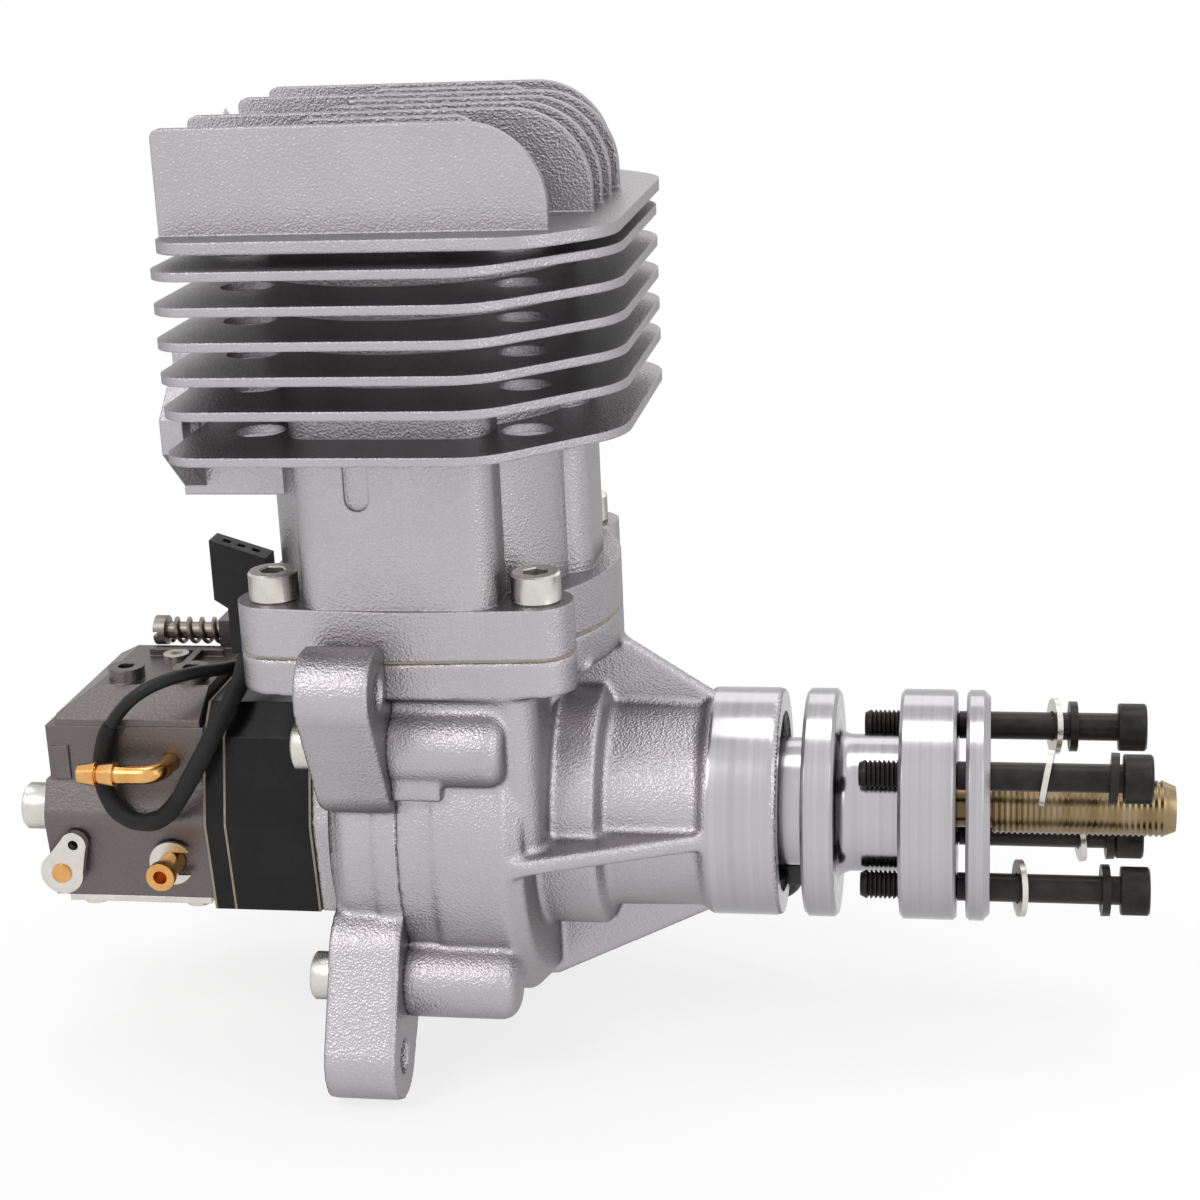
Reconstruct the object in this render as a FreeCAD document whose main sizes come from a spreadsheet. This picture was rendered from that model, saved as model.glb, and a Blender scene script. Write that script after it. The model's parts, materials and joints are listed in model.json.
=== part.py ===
import FreeCAD, Part
import math
import os
import Sketcher
from FreeCAD import Placement, Rotation, Vector

# Model aircraft gasoline engine: single cylinder two-stroke with a reed inlet and a diaphragm carburettor.
# Millimetres. X runs forward along the crankshaft to the propeller, Z runs up the cylinder.
# The origin is the centre of the four mounting lugs, on the crank axis, at the lugs' rear faces.

doc = FreeCAD.newDocument("engine")
sheet = doc.addObject("Spreadsheet::Sheet", "Sizes")

SIZES = {
    # mounting lugs and rear cover
    "lug_pitch_y": 76.7, "lug_pitch_z": 67.2, "lug_radius": 7.6, "lug_hole_d": 5.8, "lug_depth": 12.5,
    "cover_back": 1.5, "cover_edge": 6.0, "arm_root_y": 29.0, "arm_root_z": 18.5, "arm_root_radius": 9.5,
    "case_screw_y": 30.0, "case_screw_top_z": 20.8, "case_screw_low_z": 22.8, "case_screw_reach": 28.0,
    # crankcase
    "case_radius": 35.0, "case_wall": 3.5, "chamber_back": 5.0, "chamber_front": 30.6,
    "case_front": 34.0, "case_bevel": 3.0, "band_back": 8.5, "band_front": 18.5, "band_step": 0.6,
    "panel_low": 12.6, "panel_high": 17.6, "panel_length": 8.4, "boss_radius": 6.6, "boss_reach": 19.5, "boss_round": 3.0,
    "main_housing_radius": 22.8, "main_housing_front": 44.5, "nose_radius": 19.3, "nose_front": 63.5,
    "ring_radius": 20.5, "ring_front": 76.1, "rib_thickness": 3.0, "rib_setback": 3.5,
    "deck_rise": 1.7, "deck_thickness": 6.7, "deck_radius": 33.0, "deck_back": 13.5, "lobe_radius": 6.3,
    "neck_wall": 1.7, "neck_front": 37.0, "duct_back": 14.5, "duct_front": 27.0,
    "duct_wall": 2.6, "duct_depth": 3.7,
    # screws
    "screw_d": 5.0, "head_d": 8.5, "head_height": 5.0, "socket_flats": 4.0, "screw_clearance": 0.1,
    "cylinder_screw_x": 22.8, "cylinder_screw_y": 24.9, "cylinder_screw_reach": 15.0,
    # cylinder
    "cylinder_x": 14.6, "bore_d": 46.0, "gasket_thickness": 0.4, "flange_thickness": 8.6, "spigot_wall": 2.5,
    "spigot_depth": 4.7, "barrel_wall": 4.5, "bulge_wall": 2.5, "bulge_half_length": 17.0,
    "front_bulge": 44.0, "front_bulge_width": 10.0, "bulge_corner": 5.0,
    "notch_x": 9.4, "notch_width": 4.2, "notch_depth": 8.6,
    "fin_back": 34.0, "fin_front": 39.1, "fin_width": 44.0, "fin_bevel": 20.0, "fin_bevel_radius": 14.0,
    "fin_back_radius": 6.0, "fin_thickness": 1.5, "low_fin_z": 73.5, "fin_base_z": 81.0, "fin_pitch": 5.6,
    "top_plate_thickness": 2.0, "top_plate_width": 40.5, "top_plate_bevel": 12.0, "top_z": 109.0,
    "crest_height": 17.0, "crest_pitch": 9.4, "crest_thickness": 1.7, "crest_curve": 13.5, "crest_heel": 1.5,
    "crest_front": 48.1, "outer_crest_front": 44.1, "short_crest_back": 2.6, "short_crest_front": 31.7,
    "access_hole_d": 8.8, "dome_height": 5.0, "dome_radius": 14.0, "squish": 1.0,
    "plug_thread_d": 10.0, "plug_tilt": 30.0, "plug_foot_x": 6.0, "plug_seat": 12.0, "plug_boss_radius": 9.0,
    "plug_pocket_radius": 11.0, "port_low": 66.0, "port_high": 78.0, "port_width": 26.0,
    "exhaust_z": 74.0, "exhaust_back": 25.5, "exhaust_flange": 4.0, "exhaust_height": 25.0,
    "exhaust_half_width": 25.5, "exhaust_flat": 14.0, "exhaust_duct_width": 32.0, "exhaust_bolt_pitch": 39.0,
    "exhaust_bolt_d": 4.2, "transfer_low": 63.0, "transfer_high": 71.0,
    # crank train
    "stroke": 35.0, "rod_length": 60.0, "web_back": 21.6, "web_thickness": 8.0, "web_gap": 1.1,
    "crankpin_d": 12.0, "crankpin_gap": 0.3, "rod_width": 11.0, "big_end_radius": 9.6, "small_end_radius": 8.0,
    "needle_thickness": 1.6, "beam_thickness": 6.0, "beam_top": 9.0, "beam_foot": 12.0,
    "running_gap": 0.05, "pin_d": 10.0, "pin_length": 38.0, "pin_bore": 6.0, "clip_wire": 0.9,
    "crown_height": 22.0, "skirt_drop": 11.0, "piston_wall": 3.0, "crown_thickness": 4.5,
    "ring_height": 1.2, "ring_depth": 1.9, "first_ring_drop": 3.0, "second_ring_drop": 6.4,
    "journal_d": 17.0, "front_journal_d": 15.0, "shaft_front": 96.0,
    # bearings and seal
    "main_bearing_d": 35.0, "main_bearing_width": 10.0, "main_bearing_x": 31.0,
    "front_bearing_d": 32.0, "front_bearing_width": 9.0, "front_bearing_x": 60.0,
    "ball_d": 5.6, "race_gap": 3.0, "nose_bore_radius": 12.0, "seal_width": 3.5, "seal_gap": 0.5,
    # propeller drive
    "collar_radius": 11.5, "collar_nose_radius": 10.0, "collar_step": 4.5,
    "hub_back": 80.3, "hub_radius": 20.5, "hub_flange": 5.7, "neck_radius": 12.3, "neck_fillet": 2.4,
    "hub_front_back": 97.0, "hub_front": 106.9, "washer_back": 108.55, "washer_thickness": 4.15,
    "washer_bevel": 1.2, "bolt_circle_radius": 15.2, "bolt_angle": 48.7, "prop_screw_length": 45.0,
    "prop_screw_tip_x": 90.1, "stud_d": 10.0, "stud_back": 84.0, "stud_front": 144.8, "stud_bevel": 1.0,
    "stud_relief": 1.0, "stud_shoulder": 0.3,
    "flat_washer_d": 10.0, "flat_washer_hole": 5.5, "flat_washer_thickness": 1.0, "washer_tilt": 11.0,
    "lock_washer_d": 9.0, "lock_washer_hole": 5.3, "lock_washer_thickness": 1.4, "lock_washer_slit": 0.7,
    "magnet_d": 4.0, "magnet_length": 3.0, "magnet_radius": 16.5,
    # ignition pickup
    "sensor_angle": -58.0, "sensor_inner": 13.5, "sensor_outer": 19.4, "sensor_width": 10.0,
    "sensor_back": 73.8, "sensor_front": 78.8,
    # reed housing and inlet
    "pad_back": 6.0, "pad_width": 37.0, "pad_waist_width": 45.0, "pad_foot_width": 41.0,
    "pad_low": 15.0, "pad_high": 22.5, "reed_block_length": 15.3,
    "insulator_length": 3.3, "sheet_thickness": 0.4, "inlet_z": -5.8, "inlet_radius": 7.0,
    "reed_window_width": 23.0, "reed_window_height": 21.0, "reed_window_z": -1.5, "reed_reach": 9.0,
    "reed_flange": 2.0, "reed_grip": 1.0, "reed_thickness": 0.4, "block_slope": 5.0,
    # carburettor
    "carb_back": 56.5, "carb_width": 38.0, "carb_waist_width": 42.0, "carb_head_width": 36.0,
    "carb_low": 13.6, "carb_high": 19.0,
    "carb_shoulder": 8.5, "carb_bolt_y": 15.2, "carb_bolt_z": 2.2, "carb_corner": 5.0,
    "throttle_x": -32.9, "choke_x": -53.5, "choke_z": -7.8, "throat_radius": 6.75,
    "plate_gap": 0.3, "plate_thickness": 0.8, "throttle_shaft_d": 4.4, "choke_shaft_d": 3.6,
    "throttle_post": 28.0, "choke_end": 23.2, "lever_thickness": 1.6, "choke_lever_radius": 4.0,
    "choke_lever_tip": 2.4, "choke_lever_dx": 2.7, "choke_lever_dz": 5.5, "lever_hole_d": 1.9,
    "cover_height": 5.6, "cover_lip": 1.3, "cover_slope": 7.0, "cover_boss_radius": 3.3, "cover_boss_top": 8.0,
    "cover_boss_hole_d": 3.0, "cover_boss_y": -7.8, "cover_boss_back": -43.0, "cover_boss_front": -30.7,
    "bottom_plate": 1.2, "small_head_d": 4.8, "small_head_height": 1.6, "small_flats": 2.0, "small_screw_d": 3.0,
    "pump_screw_length": 9.0, "cover_screw_length": 5.0, "needle_d": 3.0, "needle_head_d": 4.8,
    "needle_head_length": 4.0,
    "nipple_x": -32.6, "nipple_y": -24.5, "nipple_z": 12.4, "nipple_radius": 1.7, "nipple_bore": 1.0,
    "nipple_bend": 3.2, "nipple_tip": -47.3, "barb_length": 3.4, "barb_radius": 2.3,
    "idle_y": 12.5, "idle_z": 27.2, "idle_head_x": -44.0, "idle_tip_x": -24.8, "idle_screw_d": 3.2,
    "spring_wire": 0.8, "spring_gap": 0.2, "spring_pitch": 2.2,
    # sensor lead and plug
    "lead_d": 2.4, "sleeve_d": 3.3, "plug_x": -19.0, "plug_y": -8.0,
    "plug_head_length": 10.2, "plug_depth": 5.0, "plug_head_low": 40.0, "plug_top": 51.6, "plug_low": 30.5,
    "plug_body_length": 5.4, "plug_slant": 3.3, "deck_clearance": 0.3,
}


class Size:
    """A length that knows its value and the expression that binds it to the sheet."""

    def __init__(self, value, text):
        self.value = value
        self.text = text

    def __add__(self, other):
        other = as_size(other)
        return Size(self.value + other.value, "(%s + %s)" % (self.text, other.text))

    def __sub__(self, other):
        other = as_size(other)
        return Size(self.value - other.value, "(%s - %s)" % (self.text, other.text))

    def __mul__(self, other):
        other = as_size(other)
        return Size(self.value * other.value, "(%s * %s)" % (self.text, other.text))

    def __truediv__(self, other):
        other = as_size(other)
        return Size(self.value / other.value, "(%s / %s)" % (self.text, other.text))

    def __neg__(self):
        return Size(-self.value, "(0 - %s)" % self.text)

    def __radd__(self, other):
        return as_size(other) + self

    def __rsub__(self, other):
        return as_size(other) - self

    def __rmul__(self, other):
        return as_size(other) * self


def as_size(number):
    """Gives a plain number the same form as a named size."""
    if isinstance(number, Size):
        return number
    return Size(float(number), repr(float(number)))


class Named:
    """Each size of the sheet as an attribute."""


z = Named()
for row, (alias, value) in enumerate(SIZES.items(), start=1):
    sheet.set("A%d" % row, alias.replace("_", " "))
    sheet.set("B%d" % row, str(value))
    sheet.setAlias("B%d" % row, alias)
    setattr(z, alias, Size(value, "Sizes." + alias))
doc.recompute()


def cosine(angle):
    """Cosine of an angle in degrees."""
    return Size(math.cos(math.radians(angle.value)), "cos(%s * 1deg)" % angle.text)


def sine(angle):
    """Sine of an angle in degrees."""
    return Size(math.sin(math.radians(angle.value)), "sin(%s * 1deg)" % angle.text)


def bind(thing, field, size):
    """Ties one property of an object to the sheet."""
    thing.setExpression(field, as_size(size).text)


def place(thing, x=0, y=0, z_up=0, turn=None):
    """Puts an object at a place that follows the sheet, turned by a fixed rotation."""
    x, y, z_up = as_size(x), as_size(y), as_size(z_up)
    thing.Placement = Placement(Vector(x.value, y.value, z_up.value), turn or Rotation())
    bind(thing, "Placement.Base.x", x)
    bind(thing, "Placement.Base.y", y)
    bind(thing, "Placement.Base.z", z_up)
    return thing


ALONG_X = Rotation(Vector(0, 1, 0), 90)
BACK_X = Rotation(Vector(0, 1, 0), -90)
ALONG_Y = Rotation(Vector(1, 0, 0), -90)
BACK_Y = Rotation(Vector(1, 0, 0), 90)
DOWN_Z = Rotation(Vector(1, 0, 0), 180)
SIDES = (-1, 1)
made = []
counter = {}


def fresh(stem):
    """A new object name from a stem."""
    counter[stem] = counter.get(stem, 0) + 1
    return "%s_%d" % (stem, counter[stem])


def rod(radius, length, x=0, y=0, z_up=0, turn=None):
    """A round bar that starts at a point and runs along the turned Z."""
    bar = doc.addObject("Part::Cylinder", fresh("bar"))
    bind(bar, "Radius", radius)
    bind(bar, "Height", length)
    return place(bar, x, y, z_up, turn)


def cone(low_radius, high_radius, length, x=0, y=0, z_up=0, turn=None):
    """A tapered bar."""
    bar = doc.addObject("Part::Cone", fresh("cone"))
    bind(bar, "Radius1", low_radius)
    bind(bar, "Radius2", high_radius)
    bind(bar, "Height", length)
    return place(bar, x, y, z_up, turn)


def ball(radius, x=0, y=0, z_up=0):
    """A whole ball."""
    body = doc.addObject("Part::Sphere", fresh("ball"))
    bind(body, "Radius", radius)
    return place(body, x, y, z_up)


def ring(major, minor, x=0, y=0, z_up=0, turn=None, angle=360):
    """A round ring, or part of one."""
    body = doc.addObject("Part::Torus", fresh("ring"))
    bind(body, "Radius1", major)
    bind(body, "Radius2", minor)
    body.Angle3 = angle
    return place(body, x, y, z_up, turn)


def block(low, high):
    """A straight block between two corners."""
    low = [as_size(value) for value in low]
    high = [as_size(value) for value in high]
    body = doc.addObject("Part::Box", fresh("block"))
    for side, a, b in zip(("Length", "Width", "Height"), low, high):
        bind(body, side, b - a)
    return place(body, *low)


def fuse(*parts):
    """One solid from several."""
    body = doc.addObject("Part::MultiFuse", fresh("fuse"))
    body.Shapes = list(parts)
    body.Refine = True
    return body


def group(*parts):
    """Separate solids kept together."""
    body = doc.addObject("Part::Compound", fresh("group"))
    body.Links = list(parts)
    return body


def cut(base, *tools):
    """The base with every tool taken out of it."""
    tool = tools[0] if len(tools) == 1 else fuse(*tools)
    body = doc.addObject("Part::Cut", fresh("cut"))
    body.Base = base
    body.Tool = tool
    body.Refine = True
    return body


def common(*parts):
    """What several solids share."""
    body = doc.addObject("Part::MultiCommon", fresh("common"))
    body.Shapes = list(parts)
    return body


def pin_point(sketch, line, end, x, y):
    """Fixes one end of a line at a distance from the sketch's origin."""
    for kind, size in (("DistanceX", as_size(x)), ("DistanceY", as_size(y))):
        index = sketch.addConstraint(Sketcher.Constraint(kind, -1, 1, line, end, size.value))
        sketch.setExpression("Constraints[%d]" % index, size.text)


def draw_loop(sketch, points):
    """Draws a closed loop of straight lines whose corners follow the sheet."""
    points = [(as_size(x), as_size(y)) for x, y in points]
    first = sketch.GeometryCount
    for (xa, ya), (xb, yb) in zip(points, points[1:] + points[:1]):
        sketch.addGeometry(Part.LineSegment(Vector(xa.value, ya.value, 0), Vector(xb.value, yb.value, 0)))
    count = len(points)
    for step in range(count):
        after = first + (step + 1) % count
        sketch.addConstraint(Sketcher.Constraint("Coincident", first + step, 2, after, 1))
        pin_point(sketch, first + step, 1, *points[step])


def draw_circle(sketch, x, y, radius):
    """Draws a circle whose centre and radius follow the sheet."""
    x, y, radius = as_size(x), as_size(y), as_size(radius)
    circle = sketch.addGeometry(Part.Circle(Vector(x.value, y.value, 0), Vector(0, 0, 1), radius.value))
    pin_point(sketch, circle, 3, x, y)
    index = sketch.addConstraint(Sketcher.Constraint("Radius", circle, radius.value))
    sketch.setExpression("Constraints[%d]" % index, radius.text)


PLANES = {
    "XY": Rotation(),
    "XZ": Rotation(Vector(1, 0, 0), 90),
    "YZ": Rotation(0.5, 0.5, 0.5, 0.5),
}


def prism(plane, offset, length, points):
    """A straight-sided solid drawn in a plane and drawn out square to it (XZ draws out towards -Y)."""
    sketch = doc.addObject("Sketcher::SketchObject", fresh("outline"))
    offset = as_size(offset)
    normal = PLANES[plane].multVec(Vector(0, 0, 1))
    sketch.Placement = Placement(normal * offset.value, PLANES[plane])
    for axis, part in zip("xyz", normal):
        bind(sketch, "Placement.Base." + axis, offset * round(part))
    draw_loop(sketch, points)
    body = doc.addObject("Part::Extrusion", fresh("prism"))
    body.Base = sketch
    body.DirMode = "Normal"
    bind(body, "LengthFwd", length)
    body.Solid = True
    return body


def new_body(label):
    """A designer's body with its own label."""
    body = doc.addObject("PartDesign::Body", label)
    body.Label = label
    return body


def plane_of(body, role):
    """The body's own origin plane with this role."""
    return [item for item in body.Origin.OriginFeatures if item.Role == role][0]


def sketch_on(body, role, offset=0):
    """A sketch on one of the body's origin planes."""
    sketch = body.newObject("Sketcher::SketchObject", fresh("sketch"))
    sketch.AttachmentSupport = [(plane_of(body, role), "")]
    sketch.MapMode = "FlatFace"
    bind(sketch, "AttachmentOffset.Base.z", offset)
    return sketch


def turned(body, points, axis="H_Axis"):
    """Turns a profile drawn in the XZ plane about the body's X (or Z) axis."""
    sketch = sketch_on(body, "XZ_Plane")
    draw_loop(sketch, points)
    feature = body.newObject("PartDesign::Revolution", fresh("turned"))
    feature.Profile = sketch
    feature.ReferenceAxis = (sketch, [axis])
    feature.Angle = 360
    return feature


def bored(body, role, offset, length, circles, reverse=False):
    """Cuts round holes of one depth into the body."""
    doc.recompute()
    before = body.Shape.Volume
    sketch = sketch_on(body, role, offset)
    for circle in circles:
        draw_circle(sketch, *circle)
    feature = body.newObject("PartDesign::Pocket", fresh("bored"))
    feature.Profile = sketch
    bind(feature, "Length", length)
    feature.Reversed = reverse
    doc.recompute()
    if body.Shape.Volume >= before:
        raise ValueError("a hole in %s cuts nothing" % body.Label)
    return feature


def softened(body, kind, size, picks):
    """Rounds or bevels the edges of the body that a test picks."""
    doc.recompute()
    tip = body.Tip
    names = ["Edge%d" % (n + 1) for n, edge in enumerate(tip.Shape.Edges) if picks(edge)]
    if not names:
        raise ValueError("no edge to soften on %s" % body.Label)
    feature = body.newObject("PartDesign::" + kind, fresh(kind.lower()))
    feature.Base = (tip, names)
    bind(feature, "Radius" if kind == "Fillet" else "Size", size)
    return feature


def rounded(source, radius, picks):
    """Rounds the edges of a plain solid that a test picks."""
    doc.recompute()
    body = doc.addObject("Part::Fillet", fresh("rounded"))
    body.Base = source
    size = as_size(radius).value
    body.Edges = [(n + 1, size, size) for n, edge in enumerate(source.Shape.Edges) if picks(edge)]
    return body


def is_upright(edge):
    """True for a straight edge along Z."""
    if edge.Curve.TypeId != "Part::GeomLine":
        return False
    return abs(abs(edge.tangentAt(edge.FirstParameter).z) - 1) < 1e-6


def is_along_x(edge):
    """True for a straight edge along X."""
    if edge.Curve.TypeId != "Part::GeomLine":
        return False
    return abs(abs(edge.tangentAt(edge.FirstParameter).x) - 1) < 1e-6


def keep(label, thing):
    """Names a finished sub-part."""
    thing.Label = label
    made.append(thing)
    return thing


def root(size):
    """Square root of a size."""
    return Size(math.sqrt(size.value), "sqrt(%s)" % size.text)


def strap(x, depth, start, start_radius, end, end_radius):
    """A flat arm along X between two round ends in the YZ plane."""
    (ya, za), (yb, zb) = [(as_size(y), as_size(w)) for y, w in (start, end)]
    span = root((yb - ya) * (yb - ya) + (zb - za) * (zb - za))
    side_y = (za - zb) / span
    side_z = (yb - ya) / span
    web = prism("YZ", x, depth, [
        (ya + side_y * start_radius, za + side_z * start_radius),
        (yb + side_y * end_radius, zb + side_z * end_radius),
        (yb - side_y * end_radius, zb - side_z * end_radius),
        (ya - side_y * start_radius, za - side_z * start_radius),
    ])
    return fuse(web, rod(start_radius, depth, x, ya, za, ALONG_X), rod(end_radius, depth, x, yb, zb, ALONG_X))


# Places that several pieces share
chamber_radius = z.case_radius - z.case_wall
web_radius = chamber_radius - z.web_gap
deck_top = z.case_radius + z.deck_rise
band_radius = z.case_radius - z.band_step
drum_radius = band_radius - z.band_step
deck_low = deck_top - z.deck_thickness
flange_low = deck_top + z.gasket_thickness
flange_top = flange_low + z.flange_thickness
tdc_pin = z.stroke / 2 + z.rod_length
tdc_crown = tdc_pin + z.crown_height
bore_radius = z.bore_d / 2
duct_inner = bore_radius + z.duct_wall
duct_outer = duct_inner + z.duct_depth
neck_half_width = duct_outer + z.neck_wall
barrel_radius = bore_radius + z.barrel_wall
bulge_width = duct_outer + z.bulge_wall
prop_screw_head_x = z.prop_screw_tip_x + z.prop_screw_length
stud_core = z.stud_d / 2 - z.stud_relief
screw_hole = z.screw_d / 2 + z.screw_clearance
top_low = z.top_z - z.top_plate_thickness
CYLINDER_SCREWS = [(z.cylinder_x + sx * z.cylinder_screw_x, sy * z.cylinder_screw_y) for sx in SIDES for sy in SIDES]
CASE_SCREWS = [(sy * z.case_screw_y, level) for sy in SIDES for level in (z.case_screw_top_z, -z.case_screw_low_z)]
LUGS = [(sy * z.lug_pitch_y / 2, sz * z.lug_pitch_z / 2) for sy in SIDES for sz in SIDES]
CARB_BOLTS = [(sy * z.carb_bolt_y, z.carb_bolt_z) for sy in SIDES]


def lobe_web(side_x, side_y, low, thickness):
    """The straight side that joins one screw's lobe to the flange's round."""
    reach = root(z.cylinder_screw_x * z.cylinder_screw_x + z.cylinder_screw_y * z.cylinder_screw_y)
    along_x, along_y = z.cylinder_screw_x / reach, z.cylinder_screw_y / reach
    lean = (z.deck_radius - z.lobe_radius) / reach
    rest = root(1 - lean * lean)
    turn_x = side_x * (lean * along_x - rest * along_y)
    turn_y = side_y * (lean * along_y + rest * along_x)
    x, y = z.cylinder_x + side_x * z.cylinder_screw_x, side_y * z.cylinder_screw_y
    return prism("XY", low, thickness, [
        (z.cylinder_x, 0), (z.cylinder_x + z.deck_radius * turn_x, z.deck_radius * turn_y),
        (x + z.lobe_radius * turn_x, y + z.lobe_radius * turn_y), (x, y)])


def flange_plate(low, thickness):
    """The flange under the cylinder: a round clipped at the back, with a lobe round each screw."""
    disc = rod(z.deck_radius, thickness, z.cylinder_x, 0, low)
    clip = block((-z.deck_back, -z.deck_radius - 1, low), (z.cylinder_x + z.deck_radius + 1, z.deck_radius + 1,
                                                           low + thickness))
    lobes = [rod(z.lobe_radius, thickness, x, y, low) for x, y in CYLINDER_SCREWS]
    webs = [lobe_web(side_x, side_y, low, thickness) for side_x in SIDES for side_y in SIDES]
    return fuse(common(disc, clip), *lobes, *webs)


def bore_mouth():
    """The way from the crank chamber up into the cylinder bore."""
    well = rod(bore_radius + 0.3, deck_low + 1.1, z.cylinder_x)
    return common(well, block((z.chamber_back, -z.bore_d, 0), (z.chamber_front, z.bore_d, deck_top)))


def sensor_box(grow, back):
    """The pickup's block on the nose ring, turned to its place round the shaft."""
    half = z.sensor_width / 2 + grow
    body = block((back, -half, z.sensor_inner - grow), (z.sensor_front, half, z.sensor_outer + grow))
    return group(body)


def make_crankcase():
    """Front half of the crankcase with its nose, ribs, screw bosses and cylinder deck."""
    shell = new_body("case_shell")
    turned(shell, [
        (z.lug_depth, 0), (z.lug_depth, band_radius), (z.band_front, band_radius),
        (z.band_front + z.band_step, z.case_radius), (z.case_front - z.case_bevel, z.case_radius),
        (z.case_front, z.case_radius - z.case_bevel), (z.case_front, z.main_housing_radius),
        (z.main_housing_front, z.main_housing_radius), (z.main_housing_front + 1.5, z.nose_radius),
        (z.nose_front - 1.5, z.nose_radius - 0.3), (z.nose_front, z.ring_radius),
        (z.ring_front - 0.6, z.ring_radius), (z.ring_front, z.ring_radius - 0.6), (z.ring_front, 0),
    ])
    neck = block((z.lug_depth, -neck_half_width, 0), (z.neck_front, neck_half_width, deck_low + 0.5))
    neck = rounded(neck, 5, lambda edge: is_upright(edge) and edge.CenterOfMass.x > z.lug_depth.value + 1)
    boss_front = z.lug_depth.value + z.boss_reach.value
    bosses = [rounded(rod(z.boss_radius, z.boss_reach, z.lug_depth, y, level, ALONG_X), z.boss_round,
                      lambda edge: edge.CenterOfMass.x > boss_front - 0.1) for y, level in CASE_SCREWS]
    half = z.rib_thickness / 2
    low_radius = z.nose_bore_radius + 2
    top_rib = prism("XZ", -half, z.rib_thickness, [
        (z.chamber_front, low_radius), (z.chamber_front, deck_low + 2),
        (z.cylinder_x + z.deck_radius - 1, deck_low + 2), (z.nose_front + 1, z.ring_radius - 0.2),
        (z.nose_front + 1, low_radius)])
    low_rib = prism("XZ", -half, z.rib_thickness, [
        (z.chamber_front, -low_radius), (z.chamber_front, -z.case_radius - 0.5),
        (z.case_front - 1, -z.case_radius - 0.5), (z.nose_front + 1, -z.ring_radius + 0.2),
        (z.nose_front + 1, -low_radius)])
    side_ribs = [prism("XY", -half, z.rib_thickness, [
        (z.chamber_front, side * low_radius), (z.chamber_front, side * (z.case_radius - 0.8)),
        (z.case_front - 1, side * (z.case_radius - 0.8)), (z.nose_front + 1, side * (z.ring_radius - 0.2)),
        (z.nose_front + 1, side * low_radius)]) for side in SIDES]
    panels = [block((z.lug_depth, side * (z.case_radius - 1.4) - 1.4, z.panel_low),
                    (z.lug_depth + z.panel_length, side * (z.case_radius - 1.4) + 1.4, z.panel_high)) for side in SIDES]
    brace = prism("XZ", -16, 32, [
        (z.neck_front - 3, deck_low + 1), (z.neck_front + 8, deck_low + 1), (z.neck_front - 3, deck_low - 10)])
    metal = fuse(shell, neck, flange_plate(deck_low, z.deck_thickness), brace, top_rib, low_rib, *side_ribs,
                 *bosses, *panels)
    chamber = rod(chamber_radius, z.chamber_front + z.deck_back, -z.deck_back, 0, 0, ALONG_X)
    span = z.case_radius + 1
    chamber = common(chamber, block((z.chamber_back, -span, -span), (z.chamber_front, span, span)))
    spigot = rod(bore_radius + z.spigot_wall + 0.05, z.deck_thickness, z.cylinder_x, 0, deck_low + 1)
    ducts = [block((z.duct_back, lower, 12), (z.duct_front, upper, deck_top + 1))
             for lower, upper in ((duct_inner, duct_outer), (-duct_outer, -duct_inner))]
    main_seat = rod(z.main_bearing_d / 2, z.main_bearing_x + z.main_bearing_width - z.chamber_front + 1,
                    z.chamber_front - 1, 0, 0, ALONG_X)
    nose_bore = rod(z.nose_bore_radius, z.ring_front - z.chamber_front, z.chamber_front, 0, 0, ALONG_X)
    front_seat = rod(z.front_bearing_d / 2, z.ring_front - z.front_bearing_x + 1, z.front_bearing_x, 0, 0, ALONG_X)
    case_holes = [rod(screw_hole, z.case_screw_reach - z.lug_depth + 1, z.lug_depth - 1, y, level, ALONG_X)
                  for y, level in CASE_SCREWS]
    deck_holes = [rod(screw_hole, z.cylinder_screw_reach, x, y, flange_top - z.cylinder_screw_reach)
                  for x, y in CYLINDER_SCREWS]
    pocket = sensor_place(sensor_box(0.2, z.sensor_back - 0.2))
    body = cut(metal, chamber, bore_mouth(), spigot, main_seat, nose_bore, front_seat, pocket, *ducts,
               *case_holes, *deck_holes)
    return keep("crankcase_front", body)


def sensor_place(thing):
    """Turns a piece about the shaft to the pickup's angle."""
    place(thing, turn=Rotation(Vector(1, 0, 0), z.sensor_angle.value - 90))
    bind(thing, "Placement.Rotation.Angle", z.sensor_angle - 90)
    return thing


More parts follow.
